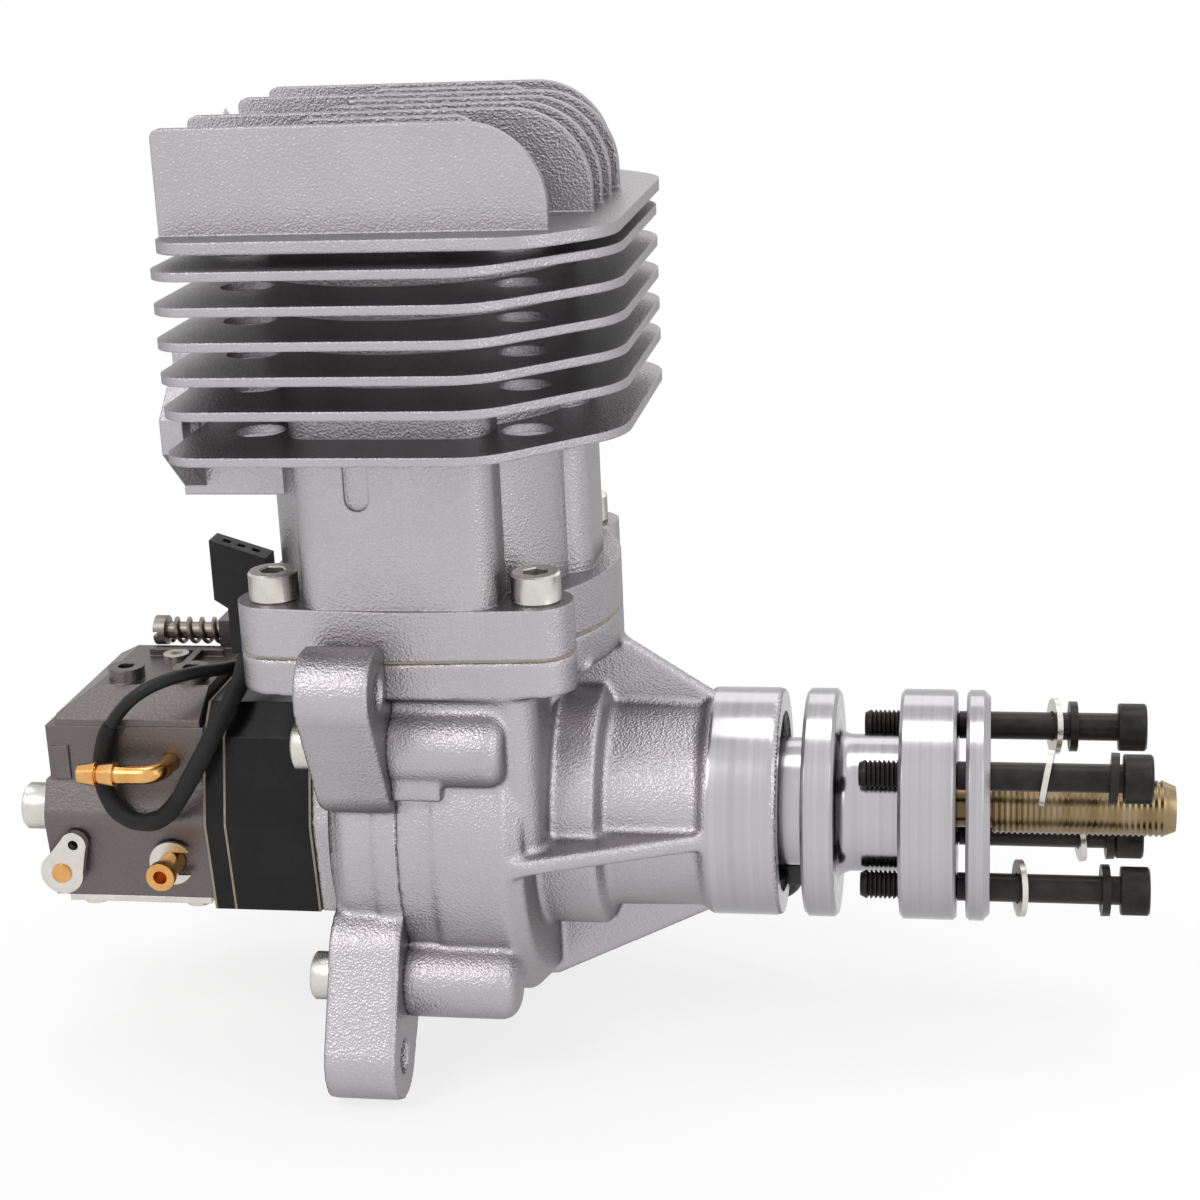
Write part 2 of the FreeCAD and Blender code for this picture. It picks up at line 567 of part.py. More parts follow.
def make_rear_cover():
    """Rear half of the crankcase: a drum with four mounting lugs and the reed housing's pad."""
    shell = new_body("cover_shell")
    turned(shell, [
        (-z.cover_back, 0), (-z.cover_back, drum_radius - 6), (1, drum_radius - 1.5), (3, drum_radius),
        (z.band_back - z.band_step, drum_radius), (z.band_back, band_radius), (z.lug_depth, band_radius),
        (z.lug_depth, 0)])
    arms = []
    for y, level in LUGS:
        side = 1 if y.value > 0 else -1
        up = 1 if level.value > 0 else -1
        arms.append(strap(0, z.lug_depth, (y, level), z.lug_radius, (side * z.arm_root_y, up * z.arm_root_z),
                          z.arm_root_radius))
    metal = fuse(shell, inlet_plate(-z.pad_back, z.pad_back + 1), *arms)
    chamber = rod(chamber_radius, z.lug_depth, z.chamber_back, 0, 0, ALONG_X)
    half = z.reed_window_width / 2 - z.reed_grip
    rise = z.reed_window_height / 2 - z.reed_grip
    window = block((-z.pad_back - 1, -half, z.reed_window_z - rise), (z.chamber_back + 1, half, z.reed_window_z + rise))
    under_deck = z.deck_radius + z.deck_clearance
    trim = block((-z.deck_back - 5, -under_deck, deck_low - 0.05), (z.lug_depth + 1, under_deck, flange_top + 10))
    lug_holes = [rod(z.lug_hole_d / 2, z.lug_depth + 2, -1, y, level, ALONG_X) for y, level in LUGS]
    case_holes = [rod(screw_hole, z.lug_depth + 2, -1, y, level, ALONG_X) for y, level in CASE_SCREWS]
    bolt_holes = [rod(screw_hole, z.pad_back + 4, -z.pad_back - 1, y, level, ALONG_X) for y, level in CARB_BOLTS]
    body = cut(metal, chamber, bore_mouth(), window, trim, *lug_holes, *case_holes, *bolt_holes)
    return keep("rear_cover", body)


def cap_screw(head_radius, head_height, radius, length, flats):
    """A socket head cap screw standing on its seat, head up."""
    socket = doc.addObject("Part::Prism", fresh("socket"))
    socket.Polygon = 6
    bind(socket, "Circumradius", flats / (2 * math.cos(math.pi / 6)))
    bind(socket, "Height", head_height)
    place(socket, 0, 0, head_height / 2)
    return cut(fuse(rod(head_radius, head_height), rod(radius, length, 0, 0, -length)), socket)


def m5_screw(length):
    """The engine's common cap screw."""
    return cap_screw(z.head_d / 2, z.head_height, z.screw_d / 2, length, z.socket_flats)


def make_screws():
    """The screws that hold the two case halves and the cylinder."""
    keep("case_screws", group(*[
        place(m5_screw(z.case_screw_reach - 1), 0, y, level, BACK_X) for y, level in CASE_SCREWS]))
    keep("cylinder_screws", group(*[
        place(m5_screw(z.cylinder_screw_reach - 0.5), x, y, flange_top) for x, y in CYLINDER_SCREWS]))


def cooling_fin(low, thickness, half, bevel):
    """One cooling fin: rounded corners at the back, long bevels with soft ends at the front."""
    back, front = z.cylinder_x - z.fin_back, z.cylinder_x + z.fin_front
    fin = prism("XY", low, thickness, [
        (back, -half), (front - bevel, -half), (front, bevel - half), (front, half - bevel), (front - bevel, half),
        (back, half)])
    middle = z.cylinder_x.value
    fin = rounded(fin, z.fin_back_radius, lambda edge: is_upright(edge) and edge.CenterOfMass.x < middle)
    return rounded(fin, z.fin_bevel_radius, lambda edge: is_upright(edge) and edge.CenterOfMass.x > middle)


def crest_blade(back, front, curve, y):
    """One upright blade on the head, its front top corner a wide curve."""
    blade = block((back, y - z.crest_thickness / 2, z.top_z - 0.5),
                  (front, y + z.crest_thickness / 2, z.top_z + z.crest_height))
    high = z.top_z.value + 1
    middle = z.cylinder_x.value
    blade = rounded(blade, curve, lambda edge: along_y(edge) and edge.CenterOfMass.z > high
                    and edge.CenterOfMass.x > middle)
    return rounded(blade, z.crest_heel, lambda edge: along_y(edge) and edge.CenterOfMass.z > high
                   and edge.CenterOfMass.x < middle - 8)


def plug_frame(thing, along=0):
    """Sets a piece on the sparking plug's tilted axis, a distance along it."""
    x = z.plug_foot_x - as_size(along) * sine(z.plug_tilt)
    level = tdc_crown + z.squish + as_size(along) * cosine(z.plug_tilt)
    place(thing, x, 0, level, Rotation(Vector(0, -1, 0), z.plug_tilt.value))
    bind(thing, "Placement.Rotation.Angle", z.plug_tilt)
    return thing


def make_cylinder():
    """The finned cylinder: flange, barrel with transfer bulges, fins, exhaust flange and head crest."""
    flange = flange_plate(flange_low, flange_top - flange_low)
    spigot = rod(bore_radius + z.spigot_wall, z.spigot_depth + 1, z.cylinder_x, 0, deck_top - z.spigot_depth)
    barrel = rod(barrel_radius, top_low - flange_top + 1, z.cylinder_x, 0, flange_top - 0.5)
    bulge_back = z.cylinder_x - z.bulge_half_length
    bulge = block((bulge_back, -bulge_width, flange_top - 0.5),
                  (z.cylinder_x + z.bulge_half_length, bulge_width, z.fin_base_z + 0.5))
    bulge = rounded(bulge, z.bulge_corner, is_upright)
    nose = block((z.cylinder_x, -z.front_bulge_width, flange_top - 0.5),
                 (z.front_bulge, z.front_bulge_width, z.fin_base_z + 0.5))
    nose = rounded(nose, z.bulge_corner, lambda edge: is_upright(edge) and edge.CenterOfMass.x > z.cylinder_x.value + 5)
    levels = [z.low_fin_z] + [z.fin_base_z + step * z.fin_pitch for step in range(5)]
    fins = [cooling_fin(level, z.fin_thickness, z.fin_width, z.fin_bevel) for level in levels]
    fins.append(cooling_fin(top_low, z.top_plate_thickness, z.top_plate_width, z.top_plate_bevel))
    fin_back = z.cylinder_x - z.fin_back
    long_blade = (fin_back, z.crest_front, z.crest_curve)
    blades = [long_blade, long_blade, (z.short_crest_back, z.short_crest_front, 4),
              (fin_back, z.outer_crest_front, z.crest_curve)]
    crests = [crest_blade(*blade, side * z.crest_pitch * (step + 0.5)) for step, blade in enumerate(blades)
              for side in SIDES]
    duct_half = z.exhaust_duct_width / 2
    duct = block((-z.exhaust_back, -duct_half, z.exhaust_z - z.exhaust_height / 2),
                 (z.cylinder_x, duct_half, z.exhaust_z + z.exhaust_height / 2))
    high, flat, tip = z.exhaust_height / 2, z.exhaust_flat, z.exhaust_half_width
    plate = prism("YZ", -z.exhaust_back, z.exhaust_flange, [
        (-flat, z.exhaust_z - high), (flat, z.exhaust_z - high), (tip, z.exhaust_z - 3), (tip, z.exhaust_z + 3),
        (flat, z.exhaust_z + high), (-flat, z.exhaust_z + high), (-tip, z.exhaust_z + 3), (-tip, z.exhaust_z - 3)])
    plug_boss = plug_frame(rod(z.plug_boss_radius, z.plug_seat))
    metal = fuse(flange, spigot, barrel, bulge, nose, duct, plate, plug_boss, *fins, *crests)
    bore = rod(bore_radius, tdc_crown + z.squish - deck_top + z.spigot_depth + 1, z.cylinder_x, 0,
               deck_top - z.spigot_depth - 1)
    dome = cone(bore_radius - 3, z.dome_radius - 3, z.dome_height, z.cylinder_x, 0, tdc_crown + z.squish - 0.01)
    plug_hole = plug_frame(rod(z.plug_thread_d / 2, z.plug_seat + 12), -1)
    pocket = plug_frame(rod(z.plug_pocket_radius, 40), z.plug_seat)
    port_half = z.port_width / 2
    port = block((-z.exhaust_back - 1, -port_half, z.port_low), (z.cylinder_x, port_half, z.port_high))
    access = [rod(z.access_hole_d / 2, z.crest_height + z.top_z - flange_top, x, y, flange_top)
              for x, y in CYLINDER_SCREWS]
    screw_holes = [rod(screw_hole, flange_top - flange_low + 2, x, y, flange_low - 1) for x, y in CYLINDER_SCREWS]
    notch_z = z.low_fin_z - z.notch_depth
    notch = [rod(z.notch_width / 2, 4, z.notch_x, side * (bulge_width + 1.2) - 2, notch_z, ALONG_Y) for side in SIDES]
    notch += [block((z.notch_x - z.notch_width / 2, side * (bulge_width + 1.2) - 2, notch_z),
                    (z.notch_x + z.notch_width / 2, side * (bulge_width + 1.2) + 2, z.low_fin_z)) for side in SIDES]
    transfers = []
    for side in SIDES:
        near, far = sorted((side * duct_inner, side * duct_outer), key=lambda size: size.value)
        transfers.append(block((z.duct_back, near, flange_low - 1), (z.duct_front, far, z.transfer_high)))
        near, far = sorted((side * (bore_radius - 6), side * duct_outer), key=lambda size: size.value)
        transfers.append(block((z.duct_back, near, z.transfer_low), (z.duct_front, far, z.transfer_high)))
    studs = [rod(z.exhaust_bolt_d / 2, z.exhaust_flange + 2, -z.exhaust_back - 1, side * z.exhaust_bolt_pitch / 2,
                 z.exhaust_z, ALONG_X) for side in SIDES]
    body = cut(metal, bore, dome, plug_hole, pocket, port, *access, *screw_holes, *transfers, *studs, *notch)
    return keep("cylinder", body)


def along_y(edge):
    """True for a straight edge along Y."""
    if edge.Curve.TypeId != "Part::GeomLine":
        return False
    return abs(abs(edge.tangentAt(edge.FirstParameter).y) - 1) < 1e-6


def make_gasket():
    """The gasket between the deck and the cylinder."""
    sheet_plate = flange_plate(deck_top, z.gasket_thickness)
    hole = rod(bore_radius + z.spigot_wall + 0.05, z.gasket_thickness + 2, z.cylinder_x, 0, deck_top - 1)
    ducts = [block((z.duct_back, lower, deck_top - 1), (z.duct_front, upper, deck_top + 1))
             for lower, upper in ((duct_inner, duct_outer), (-duct_outer, -duct_inner))]
    holes = [rod(screw_hole, z.gasket_thickness + 2, x, y, deck_top - 1) for x, y in CYLINDER_SCREWS]
    return keep("cylinder_gasket", cut(sheet_plate, hole, *ducts, *holes))


def tube(outer, inner, length, x=0, y=0, level=0, turn=None):
    """A plain sleeve."""
    return cut(rod(outer, length, x, y, level, turn),
               rod(inner, length + 2, *step_back(x, y, level, turn), turn))


def step_back(x, y, level, turn):
    """The point one millimetre behind a place, against the direction that a turned bar runs."""
    way = (turn or Rotation()).multVec(Vector(0, 0, 1))
    return as_size(x) - round(way.x), as_size(y) - round(way.y), as_size(level) - round(way.z)


def make_bearing(stem, outer_d, inner_d, width, x):
    """A ball bearing: outer ring, balls and inner ring, each grooved for the balls."""
    pitch = (outer_d + inner_d) / 4
    ball_radius = z.ball_d / 2
    middle = x + width / 2
    outer_ring = tube(outer_d / 2, pitch + z.race_gap / 2, width, x, 0, 0, ALONG_X)
    inner_ring = tube(pitch - z.race_gap / 2, inner_d / 2, width, x, 0, 0, ALONG_X)
    groove = ring(pitch, ball_radius + z.running_gap, middle, 0, 0, ALONG_X)
    keep(stem + "_outer", cut(outer_ring, groove))
    keep(stem + "_inner", cut(inner_ring, ring(pitch, ball_radius + z.running_gap, middle, 0, 0, ALONG_X)))
    balls = []
    for step in range(8):
        angle = math.radians(45 * step)
        balls.append(ball(ball_radius, middle, pitch * math.cos(angle), pitch * math.sin(angle)))
    keep(stem + "_balls", group(*balls))


def make_shaft_line():
    """Main bearings, seal, overhung crankshaft and the spacer collar in front of it."""
    make_bearing("main_bearing", z.main_bearing_d, z.journal_d, z.main_bearing_width, z.main_bearing_x)
    make_bearing("nose_bearing", z.front_bearing_d, z.front_journal_d, z.front_bearing_width, z.front_bearing_x)
    seal_back = z.front_bearing_x + z.front_bearing_width + z.seal_gap
    keep("shaft_seal", tube(z.front_bearing_d / 2, z.collar_nose_radius + z.running_gap, z.seal_width,
                            seal_back, 0, 0, ALONG_X))
    web_front = z.web_back + z.web_thickness
    crank = new_body("crankshaft")
    turned(crank, [
        (z.web_back, 0), (z.web_back, web_radius), (web_front, web_radius), (web_front, z.journal_d / 2 + 2),
        (z.main_bearing_x, z.journal_d / 2 + 2), (z.main_bearing_x, z.journal_d / 2),
        (z.main_bearing_x + z.main_bearing_width + 1, z.journal_d / 2),
        (z.main_bearing_x + z.main_bearing_width + 1, z.journal_d / 2 - 0.5),
        (z.front_bearing_x, z.journal_d / 2 - 0.5), (z.front_bearing_x, z.front_journal_d / 2),
        (z.shaft_front, z.front_journal_d / 2), (z.shaft_front, 0)])
    bored(crank, "YZ_Plane", z.shaft_front, z.shaft_front - z.stud_back, [(0, 0, stud_core + 0.03)])
    relief = web_radius - 3
    sketch = sketch_on(crank, "YZ_Plane", z.web_back - 1)
    for side in SIDES:
        draw_loop(sketch, [(side * 9, relief + 8), (side * (relief + 8), relief + 8), (side * (relief + 8), 3),
                           (side * 17, 5)])
    doc.recompute()
    whole = crank.Shape.Volume
    pocket = crank.newObject("PartDesign::Pocket", fresh("relief"))
    pocket.Profile = sketch
    bind(pocket, "Length", z.web_thickness + 1)
    pocket.Reversed = True
    doc.recompute()
    if crank.Shape.Volume >= whole:
        raise ValueError("the web's relief cuts nothing")
    softened(crank, "Chamfer", 1.0, lambda edge: edge.CenterOfMass.x > z.shaft_front.value - 0.1
             and edge.Curve.TypeId == "Part::GeomCircle" and edge.Curve.Radius > z.stud_d.value / 2 + 1)
    keep("crankshaft", crank)
    collar_back = z.front_bearing_x + z.front_bearing_width
    collar = new_body("spacer_collar")
    turned(collar, [
        (collar_back, z.front_journal_d / 2), (collar_back, z.collar_nose_radius),
        (collar_back + z.collar_step, z.collar_nose_radius), (collar_back + z.collar_step, z.collar_radius),
        (z.hub_back, z.collar_radius), (z.hub_back, z.front_journal_d / 2)])
    softened(collar, "Chamfer", 0.6, lambda edge: edge.CenterOfMass.x > z.hub_back.value - 0.1
             and edge.Curve.Radius > z.front_journal_d.value / 2 + 1)
    keep("spacer_collar", collar)


def bolt_places():
    """The four propeller screws' places round the shaft."""
    places = []
    for step in range(4):
        angle = z.bolt_angle + 90 * step
        places.append((z.bolt_circle_radius * cosine(angle), z.bolt_circle_radius * sine(angle)))
    return places


def make_propeller_drive():
    """Propeller hub, clamp washer, stud and the four long screws with their washers."""
    hub = new_body("prop_hub")
    flange_front = z.hub_back + z.hub_flange
    bevel = 0.6
    turned(hub, [
        (z.hub_back, z.front_journal_d / 2), (z.hub_back, z.hub_radius - bevel), (z.hub_back + bevel, z.hub_radius),
        (flange_front - bevel, z.hub_radius), (flange_front, z.hub_radius - bevel),
        (flange_front, z.neck_radius), (z.hub_front_back, z.neck_radius),
        (z.hub_front_back, z.hub_radius - bevel), (z.hub_front_back + bevel, z.hub_radius),
        (z.hub_front - bevel, z.hub_radius), (z.hub_front, z.hub_radius - bevel),
        (z.hub_front, z.stud_d / 2 + z.running_gap), (z.shaft_front + 1, z.stud_d / 2 + z.running_gap),
        (z.shaft_front + 1, z.front_journal_d / 2)])
    softened(hub, "Fillet", z.neck_fillet, lambda edge: edge.Curve.TypeId == "Part::GeomCircle"
             and abs(edge.Curve.Radius - z.neck_radius.value) < 0.01
             and abs(edge.CenterOfMass.x - flange_front.value) < 0.01)
    tapped = [(y, level, z.screw_d / 2 + z.running_gap) for y, level in bolt_places()]
    bored(hub, "YZ_Plane", z.hub_front, z.hub_front - z.hub_front_back, tapped)
    bored(hub, "YZ_Plane", z.hub_back, z.magnet_length, [(0, z.magnet_radius, z.magnet_d / 2)], reverse=True)
    keep("prop_hub", hub)
    washer = new_body("prop_washer")
    washer_front = z.washer_back + z.washer_thickness
    turned(washer, [
        (z.washer_back, z.stud_d / 2 + 0.2), (z.washer_back, z.hub_radius - bevel),
        (z.washer_back + bevel, z.hub_radius), (washer_front - z.washer_bevel, z.hub_radius),
        (washer_front, z.hub_radius - z.washer_bevel), (washer_front, z.stud_d / 2 + 0.2)])
    bored(washer, "YZ_Plane", washer_front, z.washer_thickness,
          [(y, level, z.screw_d / 2 + 0.2) for y, level in bolt_places()])
    keep("prop_washer", washer)
    stud = new_body("prop_stud")
    turned(stud, [
        (z.stud_back, 0), (z.stud_back, stud_core), (washer_front + z.stud_shoulder, stud_core),
        (washer_front + z.stud_shoulder, z.stud_d / 2), (z.stud_front - z.stud_bevel, z.stud_d / 2),
        (z.stud_front, z.stud_d / 2 - z.stud_bevel), (z.stud_front, 0)])
    keep("prop_stud", stud)
    keep("trigger_magnet", rod(z.magnet_d / 2, z.magnet_length, z.hub_back, 0, z.magnet_radius, ALONG_X))
    keep("prop_screws", group(*[place(m5_screw(z.prop_screw_length), prop_screw_head_x, y, level, ALONG_X)
                                for y, level in bolt_places()]))
    flat_x = [z.prop_screw_tip_x + z.prop_screw_length * share for share in (0.753, 0.716, 0.618, 0.856)]
    lock_x = [z.prop_screw_tip_x + z.prop_screw_length * share for share in (0.809, 0.951, 0.927, 0.96)]
    lean = [(0.3, 1.0), (0.8, -0.6), (0.2, 1.0), (-0.5, 0.9)]
    flats, locks = [], []
    for (y, level), fx, lx, (ly, lz) in zip(bolt_places(), flat_x, lock_x, lean):
        tilt = Rotation(Vector(0, ly, lz), z.washer_tilt.value)
        half = z.flat_washer_thickness / 2
        flat = cut(rod(z.flat_washer_d / 2, z.flat_washer_thickness, 0, 0, -half),
                   rod(z.flat_washer_hole / 2, z.flat_washer_thickness + 2, 0, 0, -half - 1))
        flats.append(place(flat, fx, y, level, tilt * ALONG_X))
        lock = cut(rod(z.lock_washer_d / 2, z.lock_washer_thickness), rod(z.lock_washer_hole / 2,
                                                                        z.lock_washer_thickness + 2, 0, 0, -1),
                   block((0, -z.lock_washer_slit / 2, -1), (z.lock_washer_d, z.lock_washer_slit / 2,
                                                            z.lock_washer_thickness + 1)))
        locks.append(place(lock, lx, y, level, Rotation(Vector(0, ly, lz), 3) * ALONG_X))
    keep("prop_flat_washers", group(*flats))
    keep("prop_lock_washers", group(*locks))


def make_piston():
    """Piston with two rings, a hollow pin and its two wire clips, at the top of the stroke."""
    radius = bore_radius - 2 * z.running_gap
    x, level = z.cylinder_x, tdc_pin
    crown = rod(radius, z.crown_height + z.skirt_drop, x, 0, level - z.skirt_drop)
    inner = rod(radius - z.piston_wall, z.crown_height + z.skirt_drop - z.crown_thickness, x, 0,
                level - z.skirt_drop - 0.01)
    reach = radius - z.piston_wall + 0.5
    boss = rod(z.pin_d / 2 + 2.8, reach * 2, x - reach, 0, level, ALONG_X)
    slot = block((x - z.rod_width / 2 - 0.6, -radius, level - z.skirt_drop),
                 (x + z.rod_width / 2 + 0.6, radius, level + z.crown_height - z.crown_thickness))
    bosses = common(cut(boss, slot), rod(radius - 0.5, z.crown_height + z.skirt_drop, x, 0, level - z.skirt_drop))
    pin_hole = rod(z.pin_d / 2 + 0.02, radius * 2 + 2, x - radius - 1, 0, level, ALONG_X)
    grooves = [tube(radius + 1, radius - z.ring_depth - 0.1, z.ring_height + 0.1, x, 0,
                    level + z.crown_height - drop - z.ring_height - 0.05)
               for drop in (z.first_ring_drop, z.second_ring_drop)]
    keep("piston", cut(fuse(cut(crown, inner), bosses), pin_hole, *grooves))
    rings = []
    for side, drop in ((-1, z.first_ring_drop), (1, z.second_ring_drop)):
        low = level + z.crown_height - drop - z.ring_height
        gap = block((x - 0.25, -radius if side < 0 else 0, low - 1), (x + 0.25, 0 if side < 0 else radius,
                                                                     low + z.ring_height + 1))
        rings.append(cut(tube(bore_radius - z.running_gap, radius - z.ring_depth, z.ring_height, x, 0, low), gap))
    keep("piston_rings", group(*rings))
    keep("wrist_pin", tube(z.pin_d / 2, z.pin_bore / 2, z.pin_length, x - z.pin_length / 2, 0, level, ALONG_X))
    clips = []
    for side in SIDES:
        at = x + side * (z.pin_length / 2 + z.clip_wire / 2 + 0.02)
        clips.append(ring(z.pin_d / 2 + 0.02 - z.clip_wire / 2, z.clip_wire / 2, at, 0, level, ALONG_X, 330))
    keep("pin_clips", group(*clips))


def make_rod():
    """Connecting rod with its needle cages and the crankpin."""
    x = z.cylinder_x
    low = tdc_pin - z.rod_length
    back = x - z.rod_width / 2
    beam_back = x - z.beam_thickness / 2
    shank = prism("YZ", beam_back, z.beam_thickness, [
        (-z.beam_top / 2, tdc_pin), (z.beam_top / 2, tdc_pin), (z.beam_foot / 2, low), (-z.beam_foot / 2, low)])
    lighten = []
    for side in SIDES:
        start = x + side * 1.2
        stop = x + side * (z.beam_thickness / 2 + 1)
        first, length = (start, stop - start) if side > 0 else (stop, start - stop)
        lighten.append(prism("YZ", first, length, [
            (-z.beam_top / 2 + 2, tdc_pin - z.small_end_radius - 3), (z.beam_top / 2 - 2, tdc_pin
                                                                    - z.small_end_radius - 3),
            (z.beam_foot / 2 - 2.3, low + z.big_end_radius + 3), (-z.beam_foot / 2 + 2.3, low
                                                                  + z.big_end_radius + 3)]))
    eyes = [rod(z.small_end_radius, z.rod_width, back, 0, tdc_pin, ALONG_X),
            rod(z.big_end_radius, z.rod_width, back, 0, low, ALONG_X)]
    small_hole = z.pin_d / 2 + z.needle_thickness + z.running_gap
    big_hole = z.crankpin_d / 2 + z.needle_thickness + z.running_gap
    holes = [rod(small_hole, z.rod_width + 2, back - 1, 0, tdc_pin, ALONG_X),
             rod(big_hole, z.rod_width + 2, back - 1, 0, low, ALONG_X)]
    keep("connecting_rod", cut(fuse(cut(shank, *lighten), *eyes), *holes))
    keep("small_end_bearing", tube(small_hole, z.pin_d / 2 + z.running_gap, z.rod_width, back, 0, tdc_pin, ALONG_X))
    keep("big_end_bearing", tube(big_hole, z.crankpin_d / 2, z.rod_width, back, 0, low, ALONG_X))
    pin_back = back - 0.8
    pin = new_body("crankpin")
    turned(pin, [(pin_back, 0), (pin_back, z.crankpin_d / 2), (z.web_back - z.crankpin_gap, z.crankpin_d / 2),
                 (z.web_back - z.crankpin_gap, 0)])
    place(pin, 0, 0, low)
    keep("crankpin", pin)


def make_pickup():
    """The ignition pickup, let into the front of the nose ring."""
    keep("ignition_sensor", sensor_place(sensor_box(0, z.sensor_back)))


# Places down the inlet, from the rear cover's pad back to the carburettor
block_front = -z.pad_back - z.sheet_thickness
block_back = block_front - z.reed_block_length
insulator_front = block_back - z.sheet_thickness
insulator_back = insulator_front - z.insulator_length
carb_front = insulator_back - z.sheet_thickness
carb_back = -z.carb_back


def inlet_bore(back, front, radius=z.inlet_radius):
    """The round inlet between two places."""
    return rod(radius, front - back + 2, back - 1, 0, z.inlet_z, ALONG_X)


def bolt_bores(back, front):
    """Clearance for the two long carburettor screws."""
    return [rod(screw_hole, front - back + 2, back - 1, y, level, ALONG_X) for y, level in CARB_BOLTS]


def inlet_plate(back, thickness):
    """A plate of the inlet's outline: widest at the two long screws, with a bevelled top corner on each side."""
    half, waist, foot = z.pad_width / 2, z.pad_waist_width / 2, z.pad_foot_width / 2
    return prism("YZ", back, thickness, [
        (-foot, -z.pad_low), (foot, -z.pad_low), (waist, z.carb_bolt_z), (half, z.pad_high - z.block_slope),
        (half - z.block_slope, z.pad_high), (z.block_slope - half, z.pad_high), (-half, z.pad_high - z.block_slope),
        (-waist, z.carb_bolt_z)])


def reed_box(back, front, grow=0):
    """The rectangular space round the reeds."""
    half = z.reed_window_width / 2 + grow
    rise = z.reed_window_height / 2 + grow
    return block((back, -half, z.reed_window_z - rise), (front, half, z.reed_window_z + rise))


def reed_wedge(back, front, base, tip, half_width):
    """A wedge pointing forward into the crankcase."""
    middle = z.reed_window_z
    return prism("XZ", -half_width, half_width * 2, [
        (back, middle - base), (back, middle + base), (front, middle + tip), (front, middle - tip)])


def make_inlet():
    """Reed housing, reed cage with its reeds, insulator and the gaskets between them."""
    recess_back = block_front - z.reed_flange
    chamber_back = recess_back - 5
    housing = cut(inlet_plate(block_back, z.reed_block_length), inlet_bore(block_back, chamber_back + 1),
                  reed_box(recess_back, block_front + 1), reed_box(chamber_back, recess_back + 0.5, -2),
                  *bolt_bores(block_back, block_front))
    keep("reed_housing", housing)
    keep("insulator_plate", cut(inlet_plate(insulator_back, z.insulator_length),
                                inlet_bore(insulator_back, insulator_front), *bolt_bores(insulator_back,
                                                                                        insulator_front)))
    sheets = []
    for back in (block_front, insulator_front, carb_front):
        opening = inlet_bore(back, back + z.sheet_thickness)
        if back is block_front:
            opening = reed_box(back - 1, back + 2, -z.reed_grip)
        sheets.append(cut(inlet_plate(back, z.sheet_thickness), opening,
                          *bolt_bores(back, back + z.sheet_thickness)))
    keep("inlet_gaskets", group(*sheets))
    half = z.reed_window_width / 2 - 0.2
    rise = z.reed_window_height / 2 - 0.2
    wedge_tip = block_front + z.reed_reach
    base, tip, wall = rise - 2.2, 1.4, 1.2
    wide = half - z.reed_grip - 0.5
    cage = fuse(reed_box(recess_back, block_front, -0.2), reed_wedge(block_front - 0.5, wedge_tip, base, tip, wide))
    hollow = reed_wedge(recess_back - 1, wedge_tip - 2, base - wall, 0.4, wide - wall)
    windows = []
    for side in SIDES:
        near, far = sorted((side * as_size(0.8), side * (wide - 1.8)), key=lambda size: size.value)
        windows.append(block((block_front + 1.2, near, z.reed_window_z - rise), (wedge_tip - 2.4, far,
                                                                                z.reed_window_z + rise)))
    keep("reed_cage", cut(cage, hollow, *windows))
    petals = []
    slope_x = z.reed_reach + 0.5
    for side in SIDES:
        petals.append(prism("XZ", -(wide - 0.5), (wide - 0.5) * 2, [
            (block_front + 0.2, z.reed_window_z + side * (base + 0.05)),
            (wedge_tip - 0.6, z.reed_window_z + side * (tip + (base - tip) * 0.6 / slope_x + 0.05)),
            (wedge_tip - 0.6, z.reed_window_z + side * (tip + (base - tip) * 0.6 / slope_x + 0.05
                                                        + z.reed_thickness)),
            (block_front + 0.2, z.reed_window_z + side * (base + 0.05 + z.reed_thickness))]))
    keep("reed_petals", group(*petals))


